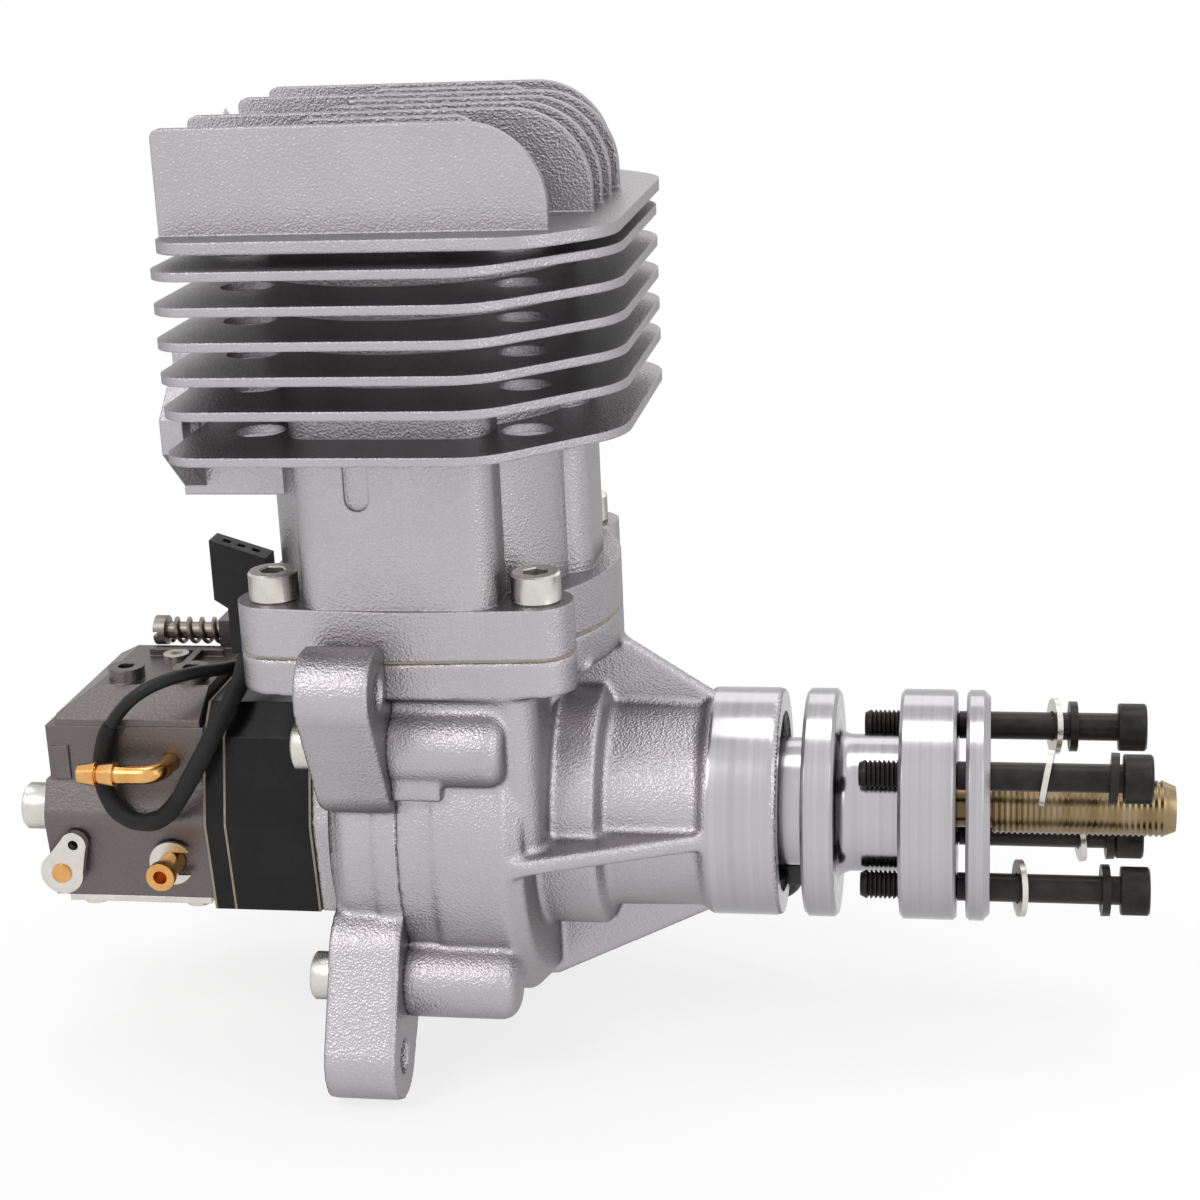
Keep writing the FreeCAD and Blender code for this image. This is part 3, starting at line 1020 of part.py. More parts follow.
def make_carburettor():
    """Carburettor body with its through bore, shafts, covers, screws, fuel nipple and adjusters."""
    half = z.carb_width / 2
    head = z.carb_head_width / 2
    waist = z.carb_waist_width / 2
    lower = prism("YZ", carb_back, carb_front - carb_back, [
        (-half, -z.carb_low), (half, -z.carb_low), (waist, z.carb_bolt_z), (head, z.carb_shoulder),
        (-head, z.carb_shoulder), (-waist, z.carb_bolt_z)])
    lower = rounded(lower, z.carb_corner, lambda edge: is_along_x(edge) and abs(edge.CenterOfMass.z
                                                                             - z.carb_bolt_z.value) < 0.1)
    upper = block((carb_back + 1, -head, z.carb_shoulder - 0.5), (carb_front, head, z.carb_high))
    tag = block((carb_back + 2, -head - 0.4, z.carb_shoulder + 0.3), (carb_back + 5, 0.5 - head, z.carb_high - 3.8))
    shell = fuse(lower, upper, tag)
    throat = rod(z.throat_radius, carb_front - carb_back + 2, carb_back - 1, 0, z.inlet_z, ALONG_X)
    mouth = cone(z.inlet_radius + 0.4, z.inlet_radius, 3.5, carb_back - 0.01, 0, z.inlet_z, ALONG_X)
    choke_room = rod(z.inlet_radius, 15, carb_back - 1, 0, z.inlet_z, ALONG_X)
    shafts = [rod(z.throttle_shaft_d / 2 + z.running_gap, waist * 2 + 2, z.throttle_x, -waist - 1, z.inlet_z, ALONG_Y),
              rod(z.choke_shaft_d / 2 + z.running_gap, waist * 2 + 2, z.choke_x, -waist - 1, z.choke_z, ALONG_Y)]
    nipple_seat = rod(z.nipple_radius + 0.02, 4, z.nipple_x, -head - 1, z.nipple_z, ALONG_Y)
    covers = [(x, y) for x in (carb_back + 6, carb_front - 5) for y in (-half + 4.5, half - 4.5)]
    cover_holes = [rod(z.small_screw_d / 2 + 0.05, z.cover_screw_length + 1, x, y, -z.carb_low - 1)
                   for x, y in covers]
    middle_x = (z.cover_boss_back + z.cover_boss_front) / 2
    top_hole = rod(z.small_screw_d / 2 + 0.05, z.pump_screw_length, middle_x, 2,
                   z.carb_high + z.cover_height - 0.5 - z.pump_screw_length)
    needles = [(z.throttle_x - 6.5, z.inlet_z + 12), (z.throttle_x - 13.5, z.inlet_z + 12)]
    needle_holes = [rod(z.needle_d / 2 + 0.1, waist - head + 9, x, head - 8, level, ALONG_Y) for x, level in needles]
    keep("carb_body", cut(shell, throat, mouth, choke_room, nipple_seat, top_hole, *shafts,
                          *bolt_bores(carb_back, carb_front), *cover_holes, *needle_holes))
    top = z.carb_high + z.cover_height
    slope = z.cover_slope
    cover = prism("YZ", carb_back + 3, carb_front - carb_back - 3.6, [
        (-head, z.carb_high), (head, z.carb_high), (head, z.carb_high + z.cover_lip), (head - slope, top),
        (slope - head, top), (-head, z.carb_high + z.cover_lip)])
    wedge_cut = prism("XZ", -head - 1, z.carb_head_width + 2, [
        (carb_back + 2, z.carb_high + z.cover_lip), (carb_back + 2 + slope, top + 0.01), (carb_back + 2, top + 1)])
    boss_places = [(x, z.cover_boss_y) for x in (z.cover_boss_back, z.cover_boss_front)]
    bosses = [rod(z.cover_boss_radius, z.cover_boss_top - 1, x, y, z.carb_high + 1) for x, y in boss_places]
    rib_y = 2.3 + z.small_head_d / 2
    rib_x = middle_x + 0.3 + z.small_head_d / 2
    ribs = [block((z.cover_boss_back, rib_y, top - 0.5), (z.cover_boss_front + 2, rib_y + 1.4, top + 1.4)),
            block((rib_x, z.cover_boss_y, top - 0.5), (rib_x + 1.4, rib_y + 1.4, top + 1.4))]
    idle_post = block((z.idle_tip_x - 6, z.idle_y - 3, z.carb_high + 1), (z.idle_tip_x - 2.8, z.idle_y + 3,
                                                                        z.idle_z + 3))
    boss_holes = [rod(z.cover_boss_hole_d / 2, 7, x, y, z.carb_high + 2) for x, y in boss_places]
    idle_hole = rod(z.idle_screw_d / 2 + z.running_gap, 20, z.idle_tip_x - 15, z.idle_y, z.idle_z, ALONG_X)
    screw_hole_top = rod(z.small_screw_d / 2 + 0.05, 20, middle_x, 2, z.carb_high - 1)
    keep("pump_cover", cut(fuse(cut(cover, wedge_cut), *bosses, *ribs, idle_post), screw_hole_top, idle_hole,
                           *boss_holes))
    small = cap_screw(z.small_head_d / 2, z.small_head_height, z.small_screw_d / 2, z.pump_screw_length, z.small_flats)
    keep("pump_cover_screw", place(small, middle_x, 2, top))
    plate = block((carb_back + 2.5, -half, -z.carb_low - z.bottom_plate), (carb_front - 1.2, half, -z.carb_low))
    keep("metering_cover", cut(plate, *cover_holes, *[rod(z.small_screw_d / 2 + 0.05, 6, x, y, -z.carb_low - 3)
                                                      for x, y in covers]))
    keep("metering_cover_screws", group(*[place(
        cap_screw(z.small_head_d / 2, z.small_head_height, z.small_screw_d / 2, z.cover_screw_length,
                 z.small_flats),
        x, y, -z.carb_low - z.bottom_plate, DOWN_Z) for x, y in covers]))
    bolt_length = z.carb_back + 2
    keep("carb_screws", group(*[place(m5_screw(bolt_length), carb_back, y, level, BACK_X)
                                for y, level in CARB_BOLTS]))
    make_nipple(head)
    make_throttle(waist)
    make_choke(half)
    make_adjusters(head, waist, needles)


def make_nipple(head):
    """Brass fuel nipple: a bent tube with two barbs."""
    bend = z.nipple_bend
    foot = rod(z.nipple_radius, z.nipple_y * -1 - bend - head + 2.5, z.nipple_x, -head + 2.5, z.nipple_z, BACK_Y)
    elbow = ring(bend, z.nipple_radius, z.nipple_x - bend, z.nipple_y + bend, z.nipple_z,
                 Rotation(Vector(0, 0, 1), -90), 90)
    run = rod(z.nipple_radius, z.nipple_x - bend - z.nipple_tip - 0.5, z.nipple_tip + 0.5, z.nipple_y, z.nipple_z,
              ALONG_X)
    barbs = [cone(z.nipple_radius, z.barb_radius, z.barb_length, z.nipple_tip + step * z.barb_length, z.nipple_y,
                  z.nipple_z, ALONG_X) for step in range(2)]
    bore = rod(z.nipple_bore, 12, z.nipple_tip - 1, z.nipple_y, z.nipple_z, ALONG_X)
    keep("fuel_nipple", cut(fuse(foot, elbow, run, *barbs), bore))


def make_throttle(waist):
    """Throttle shaft with its tapped post, retaining clip, butterfly, lever and return spring."""
    x, level = z.throttle_x, z.inlet_z
    radius = z.throttle_shaft_d / 2
    shaft = rod(radius, z.throttle_post + waist + 3, x, -z.throttle_post, level, ALONG_Y)
    collar = rod(radius + 0.4, 1.6, x, -z.throttle_post, level, ALONG_Y)
    tapped = rod(1.25, 6, x, -z.throttle_post - 1, level, ALONG_Y)
    slot = block((x - z.plate_thickness / 2, -z.throat_radius - 0.5, level - radius - 1),
                 (x + z.plate_thickness / 2, z.throat_radius + 0.5, level + radius + 1))
    keep("throttle_shaft", cut(fuse(shaft, collar), tapped, slot))
    keep("throttle_plate", rod(z.throat_radius - z.plate_gap, z.plate_thickness, x - z.plate_thickness / 2, 0, level,
                               ALONG_X))
    clip_y = -waist - 0.1
    clip = cut(rod(radius + 1.9, 0.7, x, clip_y - 0.7, level, ALONG_Y), rod(radius, 3, x, clip_y - 2, level, ALONG_Y),
               block((x, clip_y - 2, level - radius), (x + 9, clip_y + 1, level + radius)))
    keep("throttle_clip", clip)
    lever_y = waist + 0.5
    arm = fuse(rod(4.2, z.lever_thickness, x, lever_y, level, ALONG_Y),
               rod(2.4, z.lever_thickness, x - 3, lever_y, level - 11, ALONG_Y),
               prism("XZ", -lever_y - z.lever_thickness, z.lever_thickness, [
                   (x - 4.1, level - 1), (x + 4.1, level - 1), (x - 0.7, level - 11.5), (x - 5.4, level - 10.8)]))
    holes = [rod(radius, 4, x, lever_y - 1, level, ALONG_Y),
             rod(z.lever_hole_d / 2, 4, x - 3, lever_y - 1, level - 11, ALONG_Y)]
    keep("throttle_lever", cut(arm, *holes))


def make_choke(half):
    """Choke shaft, butterfly laid flat in the open mouth, and the teardrop lever."""
    x, level = z.choke_x, z.choke_z
    radius = z.choke_shaft_d / 2
    shaft = rod(radius, z.choke_end + half + 2.5, x, -z.choke_end, level, ALONG_Y)
    slot = block((x - radius - 1, -z.inlet_radius, level - z.plate_thickness / 2),
                 (x + radius + 1, z.inlet_radius, level + z.plate_thickness / 2))
    keep("choke_shaft", cut(shaft, slot))
    offset = z.inlet_z - level
    disc = rod(z.inlet_radius - z.plate_gap - 0.3, z.plate_thickness, x + offset, 0, level - z.plate_thickness / 2)
    keep("choke_plate", disc)
    lever_y = -z.choke_end + 0.4
    tip_x, tip_z = x + z.choke_lever_dx, level + z.choke_lever_dz
    span = root(z.choke_lever_dx * z.choke_lever_dx + z.choke_lever_dz * z.choke_lever_dz)
    side_x, side_z = z.choke_lever_dz / span, -z.choke_lever_dx / span
    big, small = z.choke_lever_radius, z.choke_lever_tip
    web = prism("XZ", -lever_y - z.lever_thickness, z.lever_thickness, [
        (x - side_x * big, level - side_z * big), (x + side_x * big, level + side_z * big),
        (tip_x + side_x * small, tip_z + side_z * small), (tip_x - side_x * small, tip_z - side_z * small)])
    lever = fuse(web, rod(big, z.lever_thickness, x, lever_y, level, ALONG_Y),
                 rod(small, z.lever_thickness, tip_x, lever_y, tip_z, ALONG_Y))
    keep("choke_lever", cut(lever, rod(radius, 6, x, lever_y - 2, level, ALONG_Y),
                            rod(z.lever_hole_d / 2, 6, tip_x, lever_y - 2, tip_z, ALONG_Y)))


def coil_spring(x, y, level, radius, wire, pitch, turns):
    """A coil spring along X, its wire an octagon in section."""
    path = Part.makeHelix(pitch, pitch * turns, radius)
    rise = Vector(0, 1, pitch / (2 * math.pi * radius)).normalize()
    across = Vector(1, 0, 0)
    upward = across.cross(rise)
    corners = []
    for step in range(9):
        angle = math.radians(45 * step)
        corners.append(across * (radius + wire / 2 * math.cos(angle)) + upward * (wire / 2 * math.sin(angle)))
    coil = Part.Wire(path.Edges).makePipeShell([Part.makePolygon(corners)], True, True)
    return place(shaped(coil), x, y, level, ALONG_X)


def make_adjusters(head, waist, needles):
    """Idle screw with its spring, and the two mixture needles."""
    radius = z.idle_screw_d / 2
    screw = fuse(rod(radius, z.idle_tip_x - z.idle_head_x, z.idle_head_x, z.idle_y, z.idle_z, ALONG_X),
                 rod(radius + 1.2, 2.2, z.idle_head_x, z.idle_y, z.idle_z, ALONG_X))
    slot = block((z.idle_head_x - 1, z.idle_y - 5, z.idle_z - 0.4), (z.idle_head_x + 0.9, z.idle_y + 5, z.idle_z + 0.4))
    keep("idle_screw", cut(screw, slot))
    start = z.idle_head_x + 2.4 + z.spring_wire / 2
    room = z.idle_tip_x - 6.2 - z.spring_wire / 2 - start
    turns = max(2, int(room.value / z.spring_pitch.value))
    coil_radius = radius + z.spring_wire / 2 + z.spring_gap
    keep("idle_spring", coil_spring(start, z.idle_y, z.idle_z, coil_radius.value, z.spring_wire.value,
                                    room.value / turns, turns))
    for label, (x, level) in zip(("high_needle", "low_needle"), needles):
        stem = fuse(rod(z.needle_d / 2, waist - head + 8, x, head - 7, level, ALONG_Y),
                    rod(z.needle_head_d / 2, z.needle_head_length, x, waist + 0.6, level, ALONG_Y))
        tip = waist + 0.6 + z.needle_head_length
        groove = block((x - 5, tip - 1, level - 0.4), (x + 5, tip + 1, level + 0.4))
        keep(label, cut(stem, groove))


def polar(angle, radius):
    """Y and Z of a point round the shaft."""
    return radius.value * math.cos(math.radians(angle.value)), radius.value * math.sin(math.radians(angle.value))


def lead_route():
    """Bends of the pickup's lead, from inside the plug round its loop, over the inlet and forward to the pickup."""
    above_inlet = z.pad_high.value + z.lead_d.value / 2 + 2.5
    beside_case = z.case_radius.value + z.lead_d.value + 1
    middle_x = (z.sensor_front.value + z.ring_front.value) / 2
    low_y, low_z = polar(z.sensor_angle, z.sensor_outer)
    out_y, out_z = polar(z.sensor_angle, z.sensor_outer + 6.6)
    plug_x, plug_y, plug_low = z.plug_x.value, z.plug_y.value, z.plug_low.value
    return [Vector(*point) for point in (
        (plug_x + 0.1, plug_y + 1.4, plug_low + 4), (plug_x - 0.2, plug_y - 4, plug_low - 3.7),
        (plug_x - 1.6, plug_y - 10.5, plug_low - 6.9), (-25.8, -24, 13.3), (-31.2, -24.4, 4.7), (-36.3, -24.2, 2.7),
        (-41.4, -23.0, 4.2), (-44.5, -21.2, 8.5), (-44.4, -20.2, 14.6), (-42.0, -20.4, 20.8), (-36.6, -20.2, 26.4),
        (-29.6, -16.6, 28.6), (-22.1, -8.6, above_inlet + 1), (-16.5, 3, above_inlet),
        (-13.5, 14, above_inlet - 0.6), (-11.5, 24.5, 20.5), (-9, 33, 12), (-2, beside_case - 0.2, 4),
        (10, beside_case + 0.2, -2), (24, beside_case, -6),
        (38, 34.5, -11.5), (52, 28, -19), (64, 21.5, -26.5), (72.8, 16.6, -26.6), (middle_x, out_y, out_z),
        (middle_x, low_y, low_z))]


def cord_edges(points):
    """Straight runs joined by tangent arcs."""
    edges = []
    here = points[0]
    for before, corner, after in zip(points, points[1:], points[2:]):
        back = before - corner
        ahead = after - corner
        half_turn = (math.pi - back.getAngle(ahead)) / 2
        reach = 0.45 * min(back.Length, ahead.Length)
        radius = reach / math.tan(half_turn)
        back.normalize()
        ahead.normalize()
        inward = (back + ahead).normalize()
        start = corner + back * reach
        stop = corner + ahead * reach
        middle = corner + inward * (radius / math.cos(half_turn) - radius)
        edges.append(Part.LineSegment(here, start).toShape())
        edges.append(Part.Arc(start, middle, stop).toShape())
        here = stop
    edges.append(Part.LineSegment(here, points[-1]).toShape())
    return edges


def swept(edges, radius):
    """A round bar along a path."""
    start = edges[0].valueAt(edges[0].FirstParameter)
    way = edges[0].tangentAt(edges[0].FirstParameter)
    section = Part.Wire(Part.makeCircle(radius, start, way))
    body = Part.Wire(edges).makePipeShell([section], True, False)
    length = sum(edge.Length for edge in edges)
    if abs(body.Volume / (math.pi * radius * radius * length) - 1) > 0.01:
        raise ValueError("a cord's volume is off")
    return body


def shaped(shape):
    """An object that holds a ready-made shape."""
    body = doc.addObject("Part::Feature", fresh("shaped"))
    body.Shape = shape
    return body


def make_lead():
    """The pickup's lead, the sleeve at its plug end and the plug itself."""
    x, y, wide, slim = z.plug_x, z.plug_y, z.plug_head_length / 2, z.plug_body_length / 2
    shell = prism("XZ", -y - z.plug_depth / 2, z.plug_depth, [
        (x - slim, z.plug_low), (x + slim, z.plug_low), (x + slim, z.plug_head_low - 1),
        (x + wide, z.plug_head_low + 0.6), (x + wide, z.plug_top - z.plug_slant), (x - wide, z.plug_top),
        (x - wide, z.plug_head_low + 0.6), (x - slim, z.plug_head_low - 1)])
    contacts = [block((x + 2.6 * step - 0.7, y - 0.7, z.plug_top - 9), (x + 2.6 * step + 0.7, y + 0.7, z.plug_top + 1))
                for step in (-1, 0, 1)]
    edges = cord_edges(lead_route())
    keep("sensor_plug", cut(shell, shaped(swept(edges[:1], z.lead_d.value / 2)), *contacts))
    keep("sensor_lead", shaped(swept(edges, z.lead_d.value / 2)))
    first, last = edges[0], edges[6]
    start = first.valueAt(first.FirstParameter)
    way = first.tangentAt(first.FirstParameter)
    under = start + way * ((start.z - z.plug_low.value + z.deck_clearance.value) / -way.z)
    sleeve = [Part.LineSegment(under, first.valueAt(first.LastParameter)).toShape()] + edges[1:6]
    begin = last.valueAt(last.FirstParameter)
    sleeve.append(Part.LineSegment(begin, begin + last.tangentAt(last.FirstParameter) * (last.Length - 0.8)).toShape())
    outer = shaped(swept(sleeve, z.sleeve_d.value / 2))
    inner = shaped(swept(sleeve, z.lead_d.value / 2))
    keep("lead_sleeve", cut(outer, inner))


for make in (make_crankcase, make_rear_cover, make_screws, make_cylinder, make_gasket, make_shaft_line,
             make_propeller_drive, make_piston, make_rod, make_pickup, make_inlet, make_carburettor, make_lead):
    make()
doc.recompute()
for item in doc.Objects:
    if "Invalid" in item.State or "Error" in item.State:
        raise ValueError("%s did not build" % item.Label)
os.makedirs("parts", exist_ok=True)
for piece in made:
    if piece.Shape.isNull() or not piece.Shape.isValid():
        raise ValueError("%s is not a sound solid" % piece.Label)
    piece.Shape.exportStep("parts/%s.step" % piece.Label)
    print("%s %d %.0f" % (piece.Label, len(piece.Shape.Solids), piece.Shape.Volume))
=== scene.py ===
import json
import logging
import math
from dataclasses import dataclass, field
from enum import Enum
from typing import Callable, Iterable, Optional, Sequence

import bmesh
import bpy
from mathutils import Matrix, Vector

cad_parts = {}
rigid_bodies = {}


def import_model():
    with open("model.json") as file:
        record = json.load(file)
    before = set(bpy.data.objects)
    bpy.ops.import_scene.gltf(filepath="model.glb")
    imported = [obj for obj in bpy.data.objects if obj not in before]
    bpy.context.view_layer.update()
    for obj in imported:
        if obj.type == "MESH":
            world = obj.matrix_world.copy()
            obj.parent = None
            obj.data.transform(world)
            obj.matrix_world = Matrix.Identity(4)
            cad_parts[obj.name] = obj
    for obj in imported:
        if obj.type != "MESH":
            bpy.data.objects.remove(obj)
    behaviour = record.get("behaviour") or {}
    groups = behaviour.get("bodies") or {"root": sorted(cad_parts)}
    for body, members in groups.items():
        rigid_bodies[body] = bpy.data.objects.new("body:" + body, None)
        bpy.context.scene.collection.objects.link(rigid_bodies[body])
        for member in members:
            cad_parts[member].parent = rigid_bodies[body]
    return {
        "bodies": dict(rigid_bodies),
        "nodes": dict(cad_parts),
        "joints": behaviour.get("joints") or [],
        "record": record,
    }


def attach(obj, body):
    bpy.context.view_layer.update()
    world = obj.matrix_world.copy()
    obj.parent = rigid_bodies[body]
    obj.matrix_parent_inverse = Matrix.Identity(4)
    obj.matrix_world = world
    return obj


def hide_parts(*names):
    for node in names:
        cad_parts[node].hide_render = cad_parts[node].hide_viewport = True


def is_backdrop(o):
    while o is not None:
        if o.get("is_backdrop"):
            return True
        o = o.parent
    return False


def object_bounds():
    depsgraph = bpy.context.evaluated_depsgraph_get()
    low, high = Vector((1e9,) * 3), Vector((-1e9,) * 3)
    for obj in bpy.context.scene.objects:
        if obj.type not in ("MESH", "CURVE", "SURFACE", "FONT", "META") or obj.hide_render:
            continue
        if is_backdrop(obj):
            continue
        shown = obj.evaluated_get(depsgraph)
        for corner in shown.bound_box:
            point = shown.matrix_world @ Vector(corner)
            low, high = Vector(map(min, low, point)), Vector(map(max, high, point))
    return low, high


LOG = logging.getLogger("engine")
MM = 0.001
Point = Sequence[float]
RELIEF = 0.0002
TOUCHING = 1e-7


class Axis(Enum):
    """The directions in which a turned piece can point."""

    X = Matrix.Rotation(math.radians(90), 4, "Y")
    BACK_X = Matrix.Rotation(math.radians(-90), 4, "Y")
    Z = Matrix.Identity(4)


def at(x: float, y: float, z: float, axis: Axis = Axis.Z, spin: float = 0.0) -> Matrix:
    """Gives the place of a turned piece.

    Args:
        x: place along the shaft in millimetres.
        y: place across the engine in millimetres.
        z: height in millimetres.
        axis: direction in which the piece's own Z points.
        spin: turn about the piece's own Z in degrees.

    Returns:
        The matrix that takes the piece, drawn in metres, to its place.
    """
    turned = axis.value @ Matrix.Rotation(math.radians(spin), 4, "Z")
    return Matrix.Translation(Vector((x, y, z)) * MM) @ turned


class Nodes:
    """A short way to write a shader's nodes."""

    def __init__(self, tree: bpy.types.NodeTree) -> None:
        """Keeps the tree in which the nodes are made."""
        self.tree = tree

    def add(self, kind: str, **settings) -> bpy.types.Node:
        """Adds a node and sets its properties and sockets.

        Args:
            kind: the node's type after "ShaderNode".
            **settings: properties by name, or sockets by name with spaces as underscores.

        Returns:
            The node.
        """
        node = self.tree.nodes.new("ShaderNode" + kind)
        for name, value in settings.items():
            if hasattr(node, name) and not isinstance(value, bpy.types.NodeSocket):
                setattr(node, name, value)
            else:
                self.feed(node, name.replace("_", " "), value)
        return node

    def feed(self, node: bpy.types.Node, name: str, value) -> None:
        """Links a socket, or sets its value.

        Args:
            node: the node that owns the socket.
            name: the socket's name, or its number as text.
            value: another socket or a plain value.
        """
        socket = node.inputs[int(name)] if name.strip().isdigit() else node.inputs[name]
        if isinstance(value, bpy.types.NodeSocket):
            self.tree.links.new(value, socket)
        else:
            socket.default_value = value

    def math(self, operation: str, a, b=0.0, clamp: bool = False) -> bpy.types.NodeSocket:
        """Adds one step of arithmetic.

        Args:
            operation: the Math node's operation.
            a: the first value or socket.
            b: the second value or socket.
            clamp: whether the result stays within 0 and 1.

        Returns:
            The result's socket.
        """
        node = self.tree.nodes.new("ShaderNodeMath")
        node.operation = operation
        node.use_clamp = clamp
        self.feed(node, "0", a)
        self.feed(node, "1", b)
        return node.outputs[0]

    def noise(self, vector, scale: float, detail: float = 3.0,
              roughness: float = 0.6) -> bpy.types.NodeSocket:
        """Adds a noise texture.

        Args:
            vector: the coordinates' socket.
            scale: the texture's scale per metre.
            detail: the number of octaves.
            roughness: how much the fine octaves count.

        Returns:
            The noise's value.
        """
        node = self.add("TexNoise", Vector=vector, Scale=scale, Detail=detail, Roughness=roughness)
        return node.outputs["Fac"]

    def ramp(self, value, low: float, high: float, start: float, stop: float) -> bpy.types.NodeSocket:
        """Maps one range of values to another.

        Args:
            value: the socket that is mapped.
            low: the value that gives start.
            high: the value that gives stop.
            start: the result at low.
            stop: the result at high.

        Returns:
            The mapped value.
        """
        node = self.add("MapRange")
        self.feed(node, "Value", value)
        for name, number in (("From Min", low), ("From Max", high), ("To Min", start), ("To Max", stop)):
            self.feed(node, name, number)
        return node.outputs["Result"]

    def mix(self, factor, first, second) -> bpy.types.NodeSocket:
        """Mixes two colours.

        Args:
            factor: how much of the second colour shows.
            first: a colour or its socket.
            second: a colour or its socket.

        Returns:
            The mixed colour.
        """
        node = self.tree.nodes.new("ShaderNodeMix")
        node.data_type = "RGBA"
        for index, value in ((0, factor), (6, first), (7, second)):
            if isinstance(value, bpy.types.NodeSocket):
                self.tree.links.new(value, node.inputs[index])
            else:
                node.inputs[index].default_value = value
        return node.outputs[2]


def group(name: str, outputs: Iterable[str], inputs: dict[str, float],
          build: Callable) -> bpy.types.NodeTree:
    """Makes a shared shader effect.

    Args:
        name: the group's name.
        outputs: names of the values that it gives.
        inputs: names of its settings with their usual values.
        build: function of (nodes, input sockets) that returns the output sockets in order.

    Returns:
        The node group.
    """
    tree = bpy.data.node_groups.new(name, "ShaderNodeTree")
    outputs = list(outputs)
    for label in outputs:
        tree.interface.new_socket(label, in_out="OUTPUT", socket_type="NodeSocketFloat")
    for label, value in inputs.items():
        socket = tree.interface.new_socket(label, in_out="INPUT", socket_type="NodeSocketFloat")
        socket.default_value = value
    nodes = Nodes(tree)
    entry = tree.nodes.new("NodeGroupInput")
    leave = tree.nodes.new("NodeGroupOutput")
    for label, socket in zip(outputs, build(nodes, entry.outputs)):
        tree.links.new(socket, leave.inputs[label])
    return tree


def place_of(nodes: Nodes) -> bpy.types.NodeSocket:
    """Gives the coordinates in the object's own frame, which every piece shares."""
    return nodes.add("TexCoord").outputs["Object"]


def build_grain(nodes: Nodes, given: bpy.types.NodeOutputs) -> list[bpy.types.NodeSocket]:
    """Makes the grain of a shot-blasted casting.

    Args:
        nodes: the group's nodes.
        given: the group's own inputs.

    Returns:
        Its height, its facets, which carry a painted glint, and its slow patches of tone.
    """
    where = place_of(nodes)
    fine = nodes.add("TexVoronoi", Vector=where, Scale=given["Scale"])
    dents = nodes.ramp(fine.outputs["Distance"], 0.0, 0.9, 0.0, 1.0)
    rough = nodes.add("TexNoise", Vector=where, Scale=given["Scale"], Detail=2.0)
    height = nodes.math("ADD", nodes.math("MULTIPLY", dents, 0.6),
                        nodes.math("MULTIPLY", rough.outputs["Fac"], 0.8))
    # Facets: specks that get a painted glint, a lighter colour where blasted metal would catch the light.
    finer = nodes.math("MULTIPLY", given["Scale"], 1.7)
    painted_glint_noise = nodes.add("TexNoise", Vector=where, Scale=finer, Detail=1.0)
    facets = nodes.ramp(painted_glint_noise.outputs["Fac"], 0.56, 0.74, 0.0, 1.0)
    tone = nodes.noise(where, 45.0, 3.0)
    return [height, facets, tone]


def build_turning(nodes: Nodes, given: bpy.types.NodeOutputs) -> list[bpy.types.NodeSocket]:
    """Makes the rings that a lathe leaves round the X axis.

    Args:
        nodes: the group's nodes.
        given: the group's own inputs.

    Returns:
        The fine rings and the slow streaks between them.
    """
    where = place_of(nodes)
    split = nodes.add("SeparateXYZ", Vector=where)
    across = nodes.math("POWER", split.outputs[1], 2.0)
    upward = nodes.math("POWER", split.outputs[2], 2.0)
    radius = nodes.math("SQRT", nodes.math("ADD", across, upward))
    line = nodes.math("ADD", nodes.math("MULTIPLY", radius, given["Scale"]),
                      nodes.math("MULTIPLY", split.outputs[0], given["Scale"]))
    fine = nodes.add("TexNoise", noise_dimensions="1D", W=line, Scale=1.0, Detail=3.0, Roughness=0.7)
    broad = nodes.add("TexNoise", noise_dimensions="1D", W=line, Scale=0.12, Detail=1.0)
    return [fine.outputs["Fac"], broad.outputs["Fac"]]


def build_smudge(nodes: Nodes, given: bpy.types.NodeOutputs) -> list[bpy.types.NodeSocket]:
    """Makes the marks of handling.

    Args:
        nodes: the group's nodes.
        given: the group's own inputs.

    Returns:
        The soft patches and the fine specks.
    """
    where = place_of(nodes)
    patches = nodes.ramp(nodes.noise(where, given["Scale"], 4.0, 0.65), 0.35, 0.7, 0.0, 1.0)
    specks = nodes.ramp(nodes.noise(where, 2600.0, 2.0), 0.3, 0.75, 0.0, 1.0)
    return [patches, specks]


class Effects:
    """The shader groups that several finishes share."""

    def __init__(self) -> None:
        """Makes the groups."""
        self.grain = group("grain", ("Height", "Facets", "Tone"), {"Scale": 2200.0}, build_grain)
        self.turning = group("turning", ("Fine", "Broad"), {"Scale": 9000.0}, build_turning)
        self.smudge = group("smudge", ("Patches", "Specks"), {"Scale": 60.0}, build_smudge)

    def use(self, nodes: Nodes, tree: bpy.types.NodeTree, scale: float) -> bpy.types.Node:
        """Puts a group into a material.

        Args:
            nodes: the material's nodes.
            tree: the shared group.
            scale: the group's scale.

        Returns:
            The group's node.
        """
        node = nodes.tree.nodes.new("ShaderNodeGroup")
        node.node_tree = tree
        node.inputs["Scale"].default_value = scale
        return node


class Surface(Enum):
    """How a finish's surface is made."""

    BLASTED = "blasted"
    TURNED = "turned"
    SMOOTH = "smooth"


